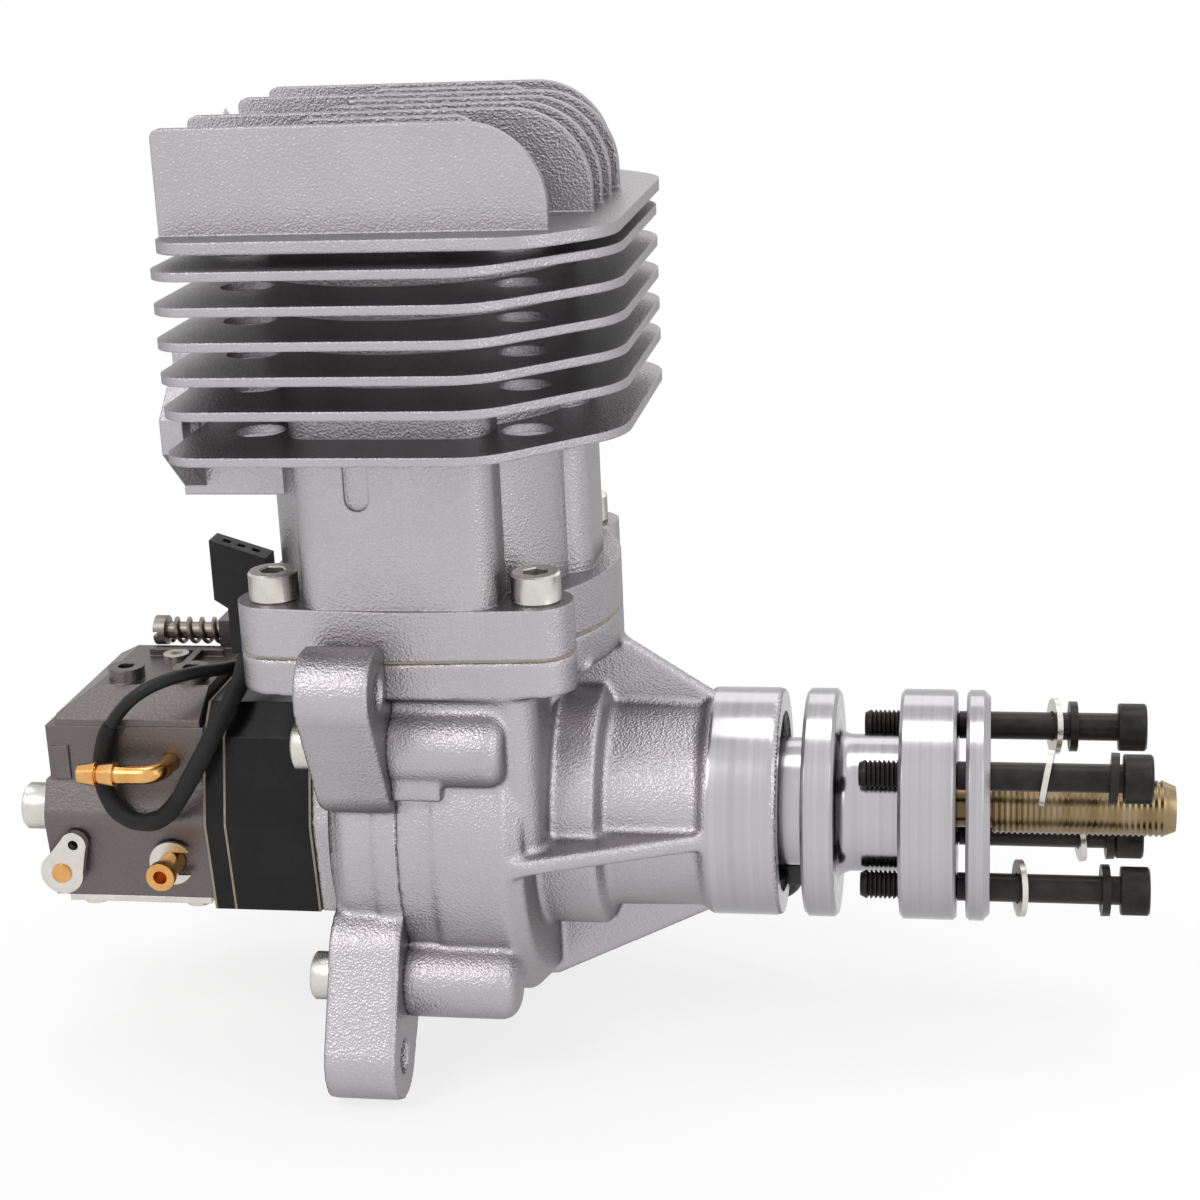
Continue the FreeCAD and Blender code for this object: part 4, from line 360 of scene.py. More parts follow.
@dataclass(frozen=True)
class Finish:
    """One material.

    Attributes:
        name: the material's name.
        color: its main colour, linear.
        second: the colour of its patches or facets.
        metal: how metallic it is.
        roughness: its lowest roughness.
        spread: how much rougher its patches are.
        bump: strength of its relief.
        scale: scale of its texture per metre.
        surface: how its surface is made.
        edge: radius in millimetres to which its edges look rounded.
        shade: how strongly painted shade darkens its colour where it turns away.
        gleam: strength of its plain reflection, 0.5 for most plastics.
    """

    name: str
    color: tuple[float, float, float]
    second: tuple[float, float, float]
    metal: float = 0.0
    roughness: float = 0.4
    spread: float = 0.1
    bump: float = 0.1
    scale: float = 60.0
    surface: Surface = Surface.SMOOTH
    edge: float = 0.15
    shade: float = 0.0
    gleam: float = 0.5

    def build(self, effects: Effects) -> bpy.types.Material:
        """Makes the material.

        Args:
            effects: the shared shader groups.

        Returns:
            The Blender material.
        """
        material = bpy.data.materials.new(self.name)
        material.use_nodes = True
        nodes = Nodes(material.node_tree)
        shader = material.node_tree.nodes["Principled BSDF"]
        shader.inputs["Metallic"].default_value = self.metal
        shader.inputs["Specular IOR Level"].default_value = self.gleam
        if self.surface is Surface.BLASTED:
            grain = effects.use(nodes, effects.grain, self.scale)
            facets, tone, height = grain.outputs["Facets"], grain.outputs["Tone"], grain.outputs["Height"]
            # Partly painted glint: the facets lighten the colour as well as making it smoother; the slow tone is
            # the metal's own.
            factor = nodes.math("ADD", nodes.math("MULTIPLY", facets, 0.5),
                                nodes.math("MULTIPLY", tone, 0.6), True)
            rough = nodes.math("SUBTRACT", self.roughness + self.spread,
                               nodes.math("MULTIPLY", facets, self.spread))
        elif self.surface is Surface.TURNED:
            rings = effects.use(nodes, effects.turning, self.scale)
            height = rings.outputs["Fine"]
            factor = nodes.ramp(rings.outputs["Broad"], 0.3, 0.7, 0.0, 1.0)
            rough = nodes.ramp(rings.outputs["Broad"], 0.3, 0.7, self.roughness,
                               self.roughness + self.spread)
        else:
            marks = effects.use(nodes, effects.smudge, self.scale)
            factor, height = marks.outputs["Patches"], marks.outputs["Specks"]
            rough = nodes.ramp(factor, 0.0, 1.0, self.roughness, self.roughness + self.spread)
        tint = nodes.mix(factor, (*self.color, 1), (*self.second, 1))
        # Painted shade: the colour is darkened where the surface turns away from the view, in place of a dark
        # reflection.
        if self.shade:
            tint = self.paint_shade_where_turned_away(nodes, tint)
        nodes.feed(shader, "Base Color", tint)
        nodes.feed(shader, "Roughness", rough)
        bump = nodes.add("Bump", Height=height, Strength=self.bump, Distance=RELIEF)
        if self.edge:
            soft = nodes.add("Bevel", samples=4, Radius=self.edge * MM)
            nodes.feed(bump, "Normal", soft.outputs[0])
        nodes.feed(shader, "Normal", bump.outputs[0])
        return material

    def paint_shade_where_turned_away(self, nodes: Nodes, tint: bpy.types.NodeSocket) -> bpy.types.NodeSocket:
        """Paints shade into a colour where the surface turns away, standing in for the darker reflection that
        metal in a dark-ended room shows.

        Args:
            nodes: the material's nodes.
            tint: the colour seen straight on.

        Returns:
            The colour with the painted shade.
        """
        fall, depth = 1.6, 0.25
        # The painted shade grows as the surface turns away from the view.
        facing = nodes.add("LayerWeight", Blend=0.5).outputs["Facing"]
        away = nodes.math("MULTIPLY", nodes.math("POWER", facing, fall), self.shade, True)
        return nodes.mix(away, tint, (*(depth * part for part in self.color), 1))


FINISHES = (
    Finish("cast_silver", (0.44, 0.415, 0.435), (0.60, 0.57, 0.59), 0.97, 0.25, 0.14, 0.65, 2300.0,
           Surface.BLASTED, 0.5, shade=0.95),
    Finish("turned_silver", (0.47, 0.455, 0.475), (0.53, 0.515, 0.535), 1.0, 0.16, 0.06, 0.02, 5200.0,
           Surface.TURNED, 0.25, shade=1.0),
    Finish("zinc_plate", (0.62, 0.60, 0.55), (0.78, 0.76, 0.71), 1.0, 0.22, 0.16, 0.06, 160.0, edge=0.12,
           shade=0.7),
    Finish("aged_steel", (0.20, 0.17, 0.15), (0.34, 0.30, 0.27), 1.0, 0.3, 0.16, 0.06, 200.0, edge=0.12,
           shade=0.6),
    Finish("black_oxide", (0.016, 0.015, 0.014), (0.035, 0.032, 0.030), 0.7, 0.34, 0.14, 0.1, 220.0,
           edge=0.12),
    Finish("gold_zinc", (0.22, 0.155, 0.075), (0.34, 0.26, 0.15), 1.0, 0.26, 0.12, 0.04, 2500.0,
           Surface.TURNED, 0.1, shade=0.7),
    Finish("ground_steel", (0.46, 0.46, 0.47), (0.58, 0.58, 0.59), 1.0, 0.24, 0.1, 0.04, 4000.0,
           Surface.TURNED, 0.1),
    Finish("piston_metal", (0.62, 0.62, 0.63), (0.72, 0.72, 0.72), 1.0, 0.3, 0.1, 0.06, 200.0),
    Finish("ring_iron", (0.16, 0.16, 0.17), (0.24, 0.24, 0.25), 1.0, 0.35, 0.1, 0.06, 200.0),
    Finish("die_cast", (0.15, 0.132, 0.13), (0.21, 0.19, 0.188), 0.95, 0.3, 0.12, 0.22, 1900.0,
           Surface.BLASTED, 0.4, shade=0.5),
    Finish("brass", (0.66, 0.33, 0.10), (0.80, 0.47, 0.18), 1.0, 0.16, 0.12, 0.05, 200.0, edge=0.12),
    Finish("phenolic", (0.006, 0.006, 0.006), (0.014, 0.014, 0.014), 0.0, 0.2, 0.12, 0.05, 60.0,
           edge=0.3, gleam=0.22),
    Finish("reed_fibre", (0.10, 0.08, 0.04), (0.16, 0.13, 0.07), 0.0, 0.4, 0.1, 0.1, 300.0),
    Finish("gasket_sheet", (0.30, 0.26, 0.19), (0.42, 0.37, 0.28), 0.0, 0.7, 0.1, 0.3, 500.0, edge=0.0),
    Finish("black_housing", (0.010, 0.010, 0.011), (0.020, 0.020, 0.021), 0.0, 0.38, 0.12, 0.12, 120.0,
           edge=0.2, gleam=0.25),
    Finish("shrink_tube", (0.012, 0.012, 0.013), (0.03, 0.03, 0.031), 0.0, 0.5, 0.2, 0.25, 90.0,
           edge=0.0, gleam=0.2),
    Finish("black_rubber", (0.008, 0.008, 0.009), (0.018, 0.018, 0.018), 0.0, 0.34, 0.14, 0.1, 150.0,
           edge=0.0, gleam=0.3),
)

COVERS = {
    "cast_silver": ("crankcase_front", "rear_cover", "cylinder"),
    "turned_silver": ("spacer_collar", "prop_hub", "prop_washer"),
    "zinc_plate": ("case_screws", "cylinder_screws", "carb_screws", "pump_cover_screw",
                   "metering_cover_screws", "metering_cover", "prop_flat_washers", "throttle_clip",
                   "throttle_lever", "choke_lever", "high_needle", "low_needle"),
    "aged_steel": ("idle_screw", "idle_spring"),
    "black_oxide": ("prop_screws", "prop_lock_washers"),
    "gold_zinc": ("prop_stud",),
    "ground_steel": ("crankshaft", "crankpin", "wrist_pin", "pin_clips", "connecting_rod",
                     "main_bearing_outer", "main_bearing_inner", "main_bearing_balls",
                     "nose_bearing_outer", "nose_bearing_inner", "nose_bearing_balls",
                     "small_end_bearing", "big_end_bearing", "trigger_magnet"),
    "piston_metal": ("piston",),
    "ring_iron": ("piston_rings",),
    "die_cast": ("carb_body", "pump_cover"),
    "brass": ("fuel_nipple", "throttle_shaft", "choke_shaft", "throttle_plate", "choke_plate"),
    "phenolic": ("reed_housing", "insulator_plate", "reed_cage"),
    "reed_fibre": ("reed_petals",),
    "gasket_sheet": ("cylinder_gasket", "inlet_gaskets"),
    "black_housing": ("sensor_plug", "ignition_sensor"),
    "black_rubber": ("sensor_lead", "lead_sleeve", "shaft_seal"),
}


@dataclass
class Workshop:
    """Holds the finishes and makes the pieces.

    Attributes:
        materials: the finishes by name.
    """

    frame: dict
    materials: dict[str, bpy.types.Material] = field(default_factory=dict)

    def mix_finishes(self) -> None:
        """Builds every finish."""
        effects = Effects()
        for finish in FINISHES:
            self.materials[finish.name] = finish.build(effects)

    def dress(self) -> None:
        """Gives each CAD node its finish."""
        for finish, names in COVERS.items():
            for name in names:
                node = self.frame["nodes"][name]
                for entry in node.material_slots:
                    entry.material = self.materials[finish]

    def piece(self, name: str, mesh: bmesh.types.BMesh, finish: str, body: str, slot: str,
              replaces: Iterable[str] = (), smooth: Optional[float] = 35.0) -> bpy.types.Object:
        """Turns a finished mesh into a piece of the engine.

        Args:
            name: the piece's name.
            mesh: its mesh in metres, in the engine's frame.
            finish: the finish's name.
            body: the body that it rides on.
            slot: the record's material slot; not used.
            replaces: CAD nodes that it stands for.
            smooth: angle in degrees below which edges look round, or None for flat faces.

        Returns:
            The new object.
        """
        data = bpy.data.meshes.new(name)
        bmesh.ops.recalc_face_normals(mesh, faces=mesh.faces)
        mesh.to_mesh(data)
        mesh.free()
        data.materials.append(self.materials[finish])
        piece = bpy.data.objects.new(name, data)
        bpy.context.scene.collection.objects.link(piece)
        if smooth is not None:
            data.shade_smooth()
            data.set_sharp_from_angle(angle=math.radians(smooth))
        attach(piece, body)
        if replaces:
            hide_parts(*replaces)
        LOG.info("%s: %d faces", name, len(data.polygons))
        return piece


def join(mesh: bmesh.types.BMesh, part: bmesh.types.BMesh, place: Matrix) -> None:
    """Moves a shape to its place and adds it to a mesh.

    Args:
        mesh: the mesh that grows.
        part: the shape, drawn about the origin in metres, which is used up.
        place: where the shape goes.
    """
    bmesh.ops.transform(part, matrix=place, verts=part.verts)
    carrier = bpy.data.meshes.new("carrier")
    part.to_mesh(carrier)
    part.free()
    mesh.from_mesh(carrier)
    bpy.data.meshes.remove(carrier)


def spun(profile: Sequence[tuple[float, float]], place: Matrix, steps: int = 48,
         mesh: Optional[bmesh.types.BMesh] = None) -> bmesh.types.BMesh:
    """Turns a profile about its own Z.

    Args:
        profile: (radius, height) pairs in millimetres.
        place: where the piece goes.
        steps: faces round the turn.
        mesh: a mesh to add to.

    Returns:
        The mesh.
    """
    mesh = mesh or bmesh.new()
    part = bmesh.new()
    line = [part.verts.new((radius * MM, 0, height * MM)) for radius, height in profile]
    edges = [part.edges.new(pair) for pair in zip(line, line[1:])]
    bmesh.ops.spin(part, geom=line + edges, cent=(0, 0, 0), axis=(0, 0, 1), angle=2 * math.pi,
                   steps=steps, use_merge=True)
    bmesh.ops.remove_doubles(part, verts=part.verts, dist=TOUCHING)
    join(mesh, part, place)
    return mesh


class Facing(Enum):
    """How a machined face lies."""

    SQUARE_X = 0
    SQUARE_Z = 2
    ROUND_X = 3


@dataclass(frozen=True)
class Flat:
    """A machined face that a cast skin keeps.

    Attributes:
        facing: whether it is square to an axis or round about X.
        place: the face's place on its axis, or the round one's radius, in millimetres.
        side: 1 where the face looks up its axis or outwards, -1 where it looks the other way.
        span: the range of X in millimetres within which a round face lies.
        squareness: how squarely the skin must look the same way, where 1 is exactly.
    """

    facing: Facing
    place: float
    side: int
    span: tuple[float, float] = (-1000.0, 1000.0)
    squareness: float = 0.6

    def hold(self, point: Vector, normal: Vector, reach: float) -> bool:
        """Moves a point back onto the face if it lies near it.

        Args:
            point: the point in metres, changed in place.
            normal: the skin's normal there.
            reach: how near it must be, in metres.

        Returns:
            Whether it was moved.
        """
        place = self.place * MM
        if self.facing is not Facing.ROUND_X:
            axis = self.facing.value
            if abs(point[axis] - place) > reach or normal[axis] * self.side < self.squareness:
                return False
            point[axis] = place
            return True
        radius = math.hypot(point.y, point.z)
        if not self.span[0] * MM < point.x < self.span[1] * MM or abs(radius - place) > reach:
            return False
        if (normal.y * point.y + normal.z * point.z) * self.side < self.squareness * radius:
            return False
        point.y *= place / radius
        point.z *= place / radius
        return True


@dataclass
class Casting:
    """A cast piece whose inner and outer corners are soft, and whose machined faces stay flat.

    Attributes:
        shop: the workshop.
        node: the CAD node that it stands for.
        flats: its machined faces.
        bright: the machined faces that are turned bright.
        voxel: the skin's step in metres.
        passes: how often the skin is relaxed.
        kept: the share of the skin's faces that stays.
        grip: how far a machined face reaches for the skin, in steps.
        bright_grip: how near the skin must lie to a bright face to be bright, in steps.
    """

    shop: Workshop
    node: str
    flats: Sequence[Flat]
    bright: Sequence[Flat] = ()
    voxel: float = 0.00055
    passes: int = 7
    kept: float = 0.45
    grip: float = 1.3
    bright_grip: float = 0.4

    def skin(self) -> bmesh.types.BMesh:
        """Draws an even skin round a copy of the node.

        Returns:
            The relaxed skin in metres.
        """
        mesh = bmesh.new()
        mesh.from_mesh(self.shop.frame["nodes"][self.node].data)
        bmesh.ops.remove_doubles(mesh, verts=mesh.verts, dist=TOUCHING)
        data = bpy.data.meshes.new(self.node + "_core")
        mesh.to_mesh(data)
        mesh.free()
        core = bpy.data.objects.new(self.node + "_core", data)
        bpy.context.scene.collection.objects.link(core)
        remesh = core.modifiers.new("skin", "REMESH")
        remesh.mode = "VOXEL"
        remesh.voxel_size = self.voxel
        relax = core.modifiers.new("relax", "SMOOTH")
        relax.factor = 0.5
        relax.iterations = self.passes
        thin = core.modifiers.new("thin", "DECIMATE")
        thin.ratio = self.kept
        bpy.context.view_layer.update()
        done = core.evaluated_get(bpy.context.evaluated_depsgraph_get())
        skin = bpy.data.meshes.new_from_object(done)
        bpy.data.objects.remove(core)
        bpy.data.meshes.remove(data)
        mesh = bmesh.new()
        mesh.from_mesh(skin)
        bpy.data.meshes.remove(skin)
        mesh.normal_update()
        return mesh

    def build(self) -> bpy.types.Object:
        """Makes the cast piece.

        Returns:
            The new piece.
        """
        mesh = self.skin()
        for vertex in mesh.verts:
            normal = vertex.normal.copy()
            for flat in (*self.flats, *self.bright):
                flat.hold(vertex.co, normal, self.voxel * self.grip)
        mesh.normal_update()
        for face in mesh.faces:
            probe = face.calc_center_median()
            near = self.voxel * self.bright_grip
            face.material_index = int(any(flat.hold(probe, face.normal, near) for flat in self.bright))
        piece = self.shop.piece(self.node + "_cast", mesh, "cast_silver", "engine", "blasted_aluminium",
                                (self.node,), None)
        piece.data.materials.append(self.shop.materials["turned_silver"])
        piece.data.shade_smooth()
        return piece


@dataclass(frozen=True)
class Crankcase:
    """The two cast halves of the crankcase.

    Attributes:
        shop: the workshop.
        joint: where the halves meet on X.
        deck: the height on which the cylinder stands.
        ring_radius: the turned nose ring's radius.
        ring_span: where the ring lies on X.
        nose: the front face on X.
        lugs: the firewall face on X.
        back: the rear half's back face on X.
    """

    shop: Workshop
    joint: float = 12.5
    deck: float = 36.7
    ring_radius: float = 20.5
    ring_span: tuple[float, float] = (64.0, 75.3)
    nose: float = 76.1
    lugs: float = 0.0
    back: float = -6.0

    def build(self) -> None:
        """Makes both halves."""
        front = (Flat(Facing.SQUARE_X, self.joint, -1), Flat(Facing.SQUARE_Z, self.deck, 1))
        turned = (Flat(Facing.ROUND_X, self.ring_radius, 1, self.ring_span), Flat(Facing.SQUARE_X, self.nose, 1))
        Casting(self.shop, "crankcase_front", front, turned).build()
        rear = (Flat(Facing.SQUARE_X, self.joint, 1), Flat(Facing.SQUARE_X, self.lugs, -1),
                Flat(Facing.SQUARE_X, self.back, -1))
        Casting(self.shop, "rear_cover", rear).build()


@dataclass(frozen=True)
class CapScrew:
    """A socket head cap screw with a knurled head and a threaded shank.

    Attributes:
        head: the head's diameter.
        height: the head's height.
        shank: the shank's diameter.
        length: the shank's length below the head.
        thread: how much of the shank's end is threaded.
        socket: the socket's width across flats.
        ridges: knurls round the head.
        knurl: the knurls' depth.
        bevel: the bevel at the head's top.
        pitch: the thread's pitch.
        groove: the thread's depth.
        steps: faces round the shank.
    """

    head: float = 8.5
    height: float = 5.0
    shank: float = 5.0
    length: float = 20.0
    thread: float = 20.0
    socket: float = 4.0
    ridges: int = 40
    knurl: float = 0.14
    bevel: float = 0.35
    pitch: float = 0.8
    groove: float = 0.42
    steps: int = 28

    def build(self, mesh: bmesh.types.BMesh, place: Matrix) -> None:
        """Adds one screw to a mesh.

        Args:
            mesh: the mesh to add to.
            place: the seat of the head, with the head along +Z.
        """
        self.add_head(mesh, place)
        radius, start = self.shank / 2, self.length - self.thread
        shortest, tip = 0.1, 0.5
        profile = [(radius, 0.0)]
        if start > shortest:
            profile.append((radius, -start))
        height = start
        while height + self.pitch <= self.length - 0.4:
            for size, share in ((radius - self.groove, 0.15), (radius - self.groove, 0.3), (radius, 0.75),
                                (radius, 1.0)):
                profile.append((size, -height - self.pitch * share))
            height += self.pitch
        profile += [(radius - tip, -self.length), (0.0, -self.length)]
        spun(profile, place, self.steps, mesh)

    def add_head(self, mesh: bmesh.types.BMesh, place: Matrix) -> None:
        """Adds the knurled head with its hexagonal socket.

        Args:
            mesh: the mesh to add to.
            place: the seat of the head.
        """
        outer, top, count = self.head / 2, self.height, self.ridges * 2
        lip, lead, mouth, depth = 0.25, 0.45, 1.08, 0.45
        levels = ((outer, lip, 0.0, False), (outer, lead, self.knurl, False),
                  (outer, top - self.bevel - lip, self.knurl, False), (outer, top - self.bevel, 0.0, False),
                  (outer - self.bevel, top, 0.0, False), (mouth, top, 0.0, True), (1.0, top - 0.2, 0.0, True),
                  (1.0, top * depth, 0.0, True))
        part = bmesh.new()
        bmesh.ops.create_circle(part, cap_ends=True, segments=count, radius=(outer - 0.2) * MM)
        rim = list(part.edges)
        for radius, height, knurl, socket in levels:
            grown = bmesh.ops.extrude_edge_only(part, edges=rim)["geom"]
            rim = [item for item in grown if isinstance(item, bmesh.types.BMEdge) and item.is_boundary]
            for vertex in (item for item in grown if isinstance(item, bmesh.types.BMVert)):
                angle = math.atan2(vertex.co.y, vertex.co.x)
                size = radius
                if socket:
                    turn = (angle + math.pi / 6) % (math.pi / 3) - math.pi / 6
                    size = self.socket / 2 / math.cos(turn) * radius
                elif round(angle / (2 * math.pi) * count) % 2:
                    size -= knurl
                vertex.co = Vector((size * math.cos(angle), size * math.sin(angle), height)) * MM
        bmesh.ops.contextual_create(part, geom=rim)
        join(mesh, part, place)


@dataclass
class Stud:
    """The threaded stud in the propeller's middle.

    Attributes:
        shop: the workshop.
        back: where it starts inside the shaft.
        shoulder: where its thread starts.
        front: its tip.
        radius: its outer radius.
        core: its radius inside the shaft.
        pitch: its thread's pitch.
        depth: its thread's depth.
        tip: how far its tip is bevelled.
        steps: faces round it.
    """

    shop: Workshop
    back: float = 84.0
    shoulder: float = 113.0
    front: float = 144.8
    radius: float = 5.0
    core: float = 4.0
    pitch: float = 1.0
    depth: float = 0.3
    tip: float = 1.0
    steps: int = 64

    def build(self) -> None:
        """Makes the stud."""
        root, end = self.radius - self.depth, self.front - self.back
        height = self.shoulder - self.back
        profile = [(0.0, 0.0), (self.core, 0.0), (self.core, height), (root, height)]
        while height + self.pitch <= end - self.tip:
            for size, rise in ((root, 0.12), (self.radius, 0.45), (self.radius, 0.6), (root, 0.95)):
                profile.append((size, height + self.pitch * rise))
            height += self.pitch
        profile += [(root, height + 0.1), (self.radius - self.tip, end), (0.0, end)]
        mesh = spun(profile, at(self.back, 0, 0, Axis.X), self.steps)
        self.shop.piece("prop_stud_threaded", mesh, "gold_zinc", "crank", "gold_steel", ("prop_stud",), 50.0)


@dataclass
class Fasteners:
    """Every cap screw that shows.

    Attributes:
        shop: the workshop.
        barrel: the cylinder's middle on X and the height of its flange.
        barrel_reach: how far its screws lie from the middle along X and Y.
        case_half: how far the case screws lie from the middle.
        case_levels: their heights.
        carb_seat: where the carburettor screws' heads sit on X, and their height.
        prop_seat: where the propeller screws' heads sit on X.
        half: how far the carburettor screws and the propeller screws lie from their middle.
        prop_turn: the first propeller screw's angle in degrees.
        prop_count: how many propeller screws there are.
    """

    shop: Workshop
    barrel: tuple[float, float] = (14.6, 45.7)
    barrel_reach: tuple[float, float] = (22.8, 24.9)
    case_half: float = 30.0
    case_levels: tuple[float, float] = (20.8, -22.8)
    carb_seat: tuple[float, float] = (-56.5, 2.2)
    prop_seat: float = 135.1
    half: float = 15.2
    prop_turn: float = 48.7
    prop_count: int = 4

    def screws(self, name: str, screw: CapScrew, places: Sequence[Matrix], finish: str, body: str,
               slot: str) -> bpy.types.Object:
        """Makes a group of equal screws that stands for one CAD node.

        Args:
            name: the CAD node's name.
            screw: the screw.
            places: the seats.
            finish: the finish's name.
            body: the body that they ride on.
            slot: the record's material slot.

        Returns:
            The new object.
        """
        mesh = bmesh.new()
        for place in places:
            screw.build(mesh, place)
        return self.shop.piece(name + "_detailed", mesh, finish, body, slot, (name,), 30.0)

    def build(self) -> None:
        """Makes the case, cylinder, carburettor and propeller screws."""
        middle, flange = self.barrel
        along, across = self.barrel_reach
        sides = (-1, 1)
        self.screws("cylinder_screws", CapScrew(length=14.5, thread=14.0),
                    [at(middle + along * sx, across * sy, flange, Axis.Z, 17 * sx + 9 * sy)
                     for sx in sides for sy in sides],
                    "zinc_plate", "engine", "plated_steel")
        self.screws("case_screws", CapScrew(length=27.0, thread=15.0),
                    [at(0, self.case_half * sy, level, Axis.BACK_X, 21 * sy)
                     for sy in sides for level in self.case_levels],
                    "zinc_plate", "engine", "plated_steel")
        seat, level = self.carb_seat
        self.screws("carb_screws", CapScrew(length=58.5, thread=18.0),
                    [at(seat, self.half * sy, level, Axis.BACK_X, 12 * sy) for sy in sides],
                    "zinc_plate", "engine", "plated_steel")
        angles = [math.radians(self.prop_turn + 360 / self.prop_count * step)
                  for step in range(self.prop_count)]
        self.screws("prop_screws", CapScrew(length=45.0, thread=17.0),
                    [at(self.prop_seat, self.half * math.cos(angle), self.half * math.sin(angle), Axis.X,
                        13 * step) for step, angle in enumerate(angles)],
                    "black_oxide", "crank", "black_steel")


# The lead's control points from the plug to the pickup, in millimetres.
ROUTE = (
    (-18.9, -6.6, 34.5), (-19.2, -12.0, 26.8), (-20.6, -18.5, 23.6), (-25.8, -24.0, 13.3),
    (-31.2, -24.4, 4.7), (-36.3, -24.2, 2.7), (-41.4, -23.0, 4.2), (-44.5, -21.2, 8.5),
    (-44.4, -20.2, 14.6), (-42.0, -20.4, 20.8), (-36.6, -20.2, 26.4), (-29.6, -16.6, 28.6),
    (-22.1, -8.6, 27.2), (-16.5, 3.0, 26.2), (-13.5, 14.0, 25.6), (-11.5, 24.5, 20.5),
    (-9.0, 33.0, 12.0), (-2.0, 38.2, 4.0), (10.0, 38.6, -2.0), (24.0, 38.4, -6.0),
    (38.0, 34.5, -11.5), (52.0, 28.0, -19.0), (64.0, 21.5, -26.5), (72.8, 16.6, -26.6),
    (77.45, 13.778, -22.049), (77.45, 10.281, -16.452),
)


@dataclass
class Lead:
    """The pickup's lead with the sleeve at its plug end.

    Attributes:
        shop: the workshop.
        diameter: the lead's diameter in millimetres.
        sleeve: the sleeve's diameter in millimetres.
        sleeve_span: where the sleeve lies along the lead, in metres from the plug.
    """

    shop: Workshop
    diameter: float = 2.4
    sleeve: float = 3.3
    sleeve_span: tuple[float, float] = (0.0045, 0.067)

    def build(self) -> None:
        line = smooth_line(ROUTE)
        lengths = [0.0]
        for before, after in zip(line, line[1:]):
            lengths.append(lengths[-1] + (after - before).length)
        bar = swept(line, lambda share: self.diameter / 2 * MM)
        lead = self.shop.piece("pickup_lead", bar, "black_rubber", "engine", "black_rubber",
                               ("sensor_lead",), 80.0)
        low, high = self.sleeve_span
        part = [point for point, length in zip(line, lengths) if low <= length <= high]
        cuff = self.shop.piece("shrink_sleeve", swept(part, self.sleeve_radius), "shrink_tube", "engine",
                               "black_rubber", ("lead_sleeve",), 60.0)

    def sleeve_radius(self, share: float) -> float:
        """Gives the sleeve's radius, which is a little wavy and drawn in at both ends.

        Args:
            share: the place along the sleeve, from 0 to 1.

        Returns:
            The radius in metres.
        """
        wave = 0.05 * math.sin(share * 31.0) + 0.03 * math.sin(share * 67.0 + 1.0)
        drawn_in = 0.2 * max(0.0, 1.0 - min(share, 1.0 - share) * 60.0)
        return (self.sleeve / 2 + wave - drawn_in) * MM


def smooth_line(points: Sequence[Point]) -> list[Vector]:
    """Draws the cord's own spline through its control points.

    Args:
        points: the control points in millimetres.

    Returns:
        The points along the spline in metres.
    """
    curve = bpy.data.curves.new("route", "CURVE")
    curve.dimensions = "3D"
    curve.resolution_u = 10
    spline = curve.splines.new("NURBS")
    spline.points.add(len(points) - 1)
    for entry, point in zip(spline.points, points):
        entry.co = (*(Vector(point) * MM), 1.0)
    spline.order_u = 3
    spline.use_endpoint_u = True
    rule = bpy.data.objects.new("route", curve)
    bpy.context.scene.collection.objects.link(rule)
    bpy.context.view_layer.update()
    line = bpy.data.meshes.new_from_object(rule.evaluated_get(bpy.context.evaluated_depsgraph_get()))
    way = [vertex.co.copy() for vertex in line.vertices]
    bpy.data.meshes.remove(line)
    bpy.data.objects.remove(rule)
    bpy.data.curves.remove(curve)
    return way


def swept(line: Sequence[Vector], radius: Callable[[float], float],
          steps: int = 20) -> bmesh.types.BMesh:
    """Draws a round bar along a line.

    Args:
        line: the points that it follows, in metres.
        radius: gives the bar's radius in metres at a share of its length.
        steps: faces round the bar.

    Returns:
        The mesh.
    """
    mesh = bmesh.new()
    way = (line[1] - line[0]).normalized()
    side = way.orthogonal().normalized()
    rings = []
    for index, point in enumerate(line):
        after = line[min(index + 1, len(line) - 1)] - line[max(index - 1, 0)]
        after.normalize()
        side = (way.rotation_difference(after) @ side).normalized()
        way = after
        across = way.cross(side)
        size = radius(index / (len(line) - 1))
        rings.append([mesh.verts.new(point + (side * math.cos(angle) + across * math.sin(angle)) * size)
                      for angle in (2 * math.pi * step / steps for step in range(steps))])
    for first, second in zip(rings, rings[1:]):
        for step in range(steps):
            after = (step + 1) % steps
            mesh.faces.new((first[step], first[after], second[after], second[step]))
    mesh.faces.new(rings[0][::-1])
    mesh.faces.new(rings[-1])
    return mesh


def seen_directly(nodes: Nodes) -> bpy.types.NodeSocket:
    """Tells what is seen from what only lights.

    Args:
        nodes: the shader's nodes.

    Returns:
        1 for what the camera sees, in a mirror or through glass too, and 0 for light.
    """
    path = nodes.add("LightPath")
    mirrored = nodes.math("MAXIMUM", path.outputs["Is Glossy Ray"], path.outputs["Is Transmission Ray"])
    return nodes.math("MAXIMUM", path.outputs["Is Camera Ray"], mirrored)


@dataclass(frozen=True)
class Lamp:
    """A soft rectangular lamp.

    Attributes:
        name: its name.
        place: its place in metres.
        aim: the point that it looks at, in metres.
        size: its sides in metres.
        power: its power in watts.
    """

    name: str
    place: Point
    aim: Point
    size: tuple[float, float]
    power: float

    def build(self) -> None:
        """Hangs the lamp."""
        data = bpy.data.lights.new(self.name, "AREA")
        data.shape = "RECTANGLE"
        data.size, data.size_y = self.size
        data.energy = self.power
        lamp = bpy.data.objects.new(self.name, data)
        way = (Vector(self.aim) - Vector(self.place)).to_track_quat("-Z", "Y").to_matrix().to_4x4()
        lamp.matrix_world = Matrix.Translation(Vector(self.place)) @ way
        bpy.context.scene.collection.objects.link(lamp)


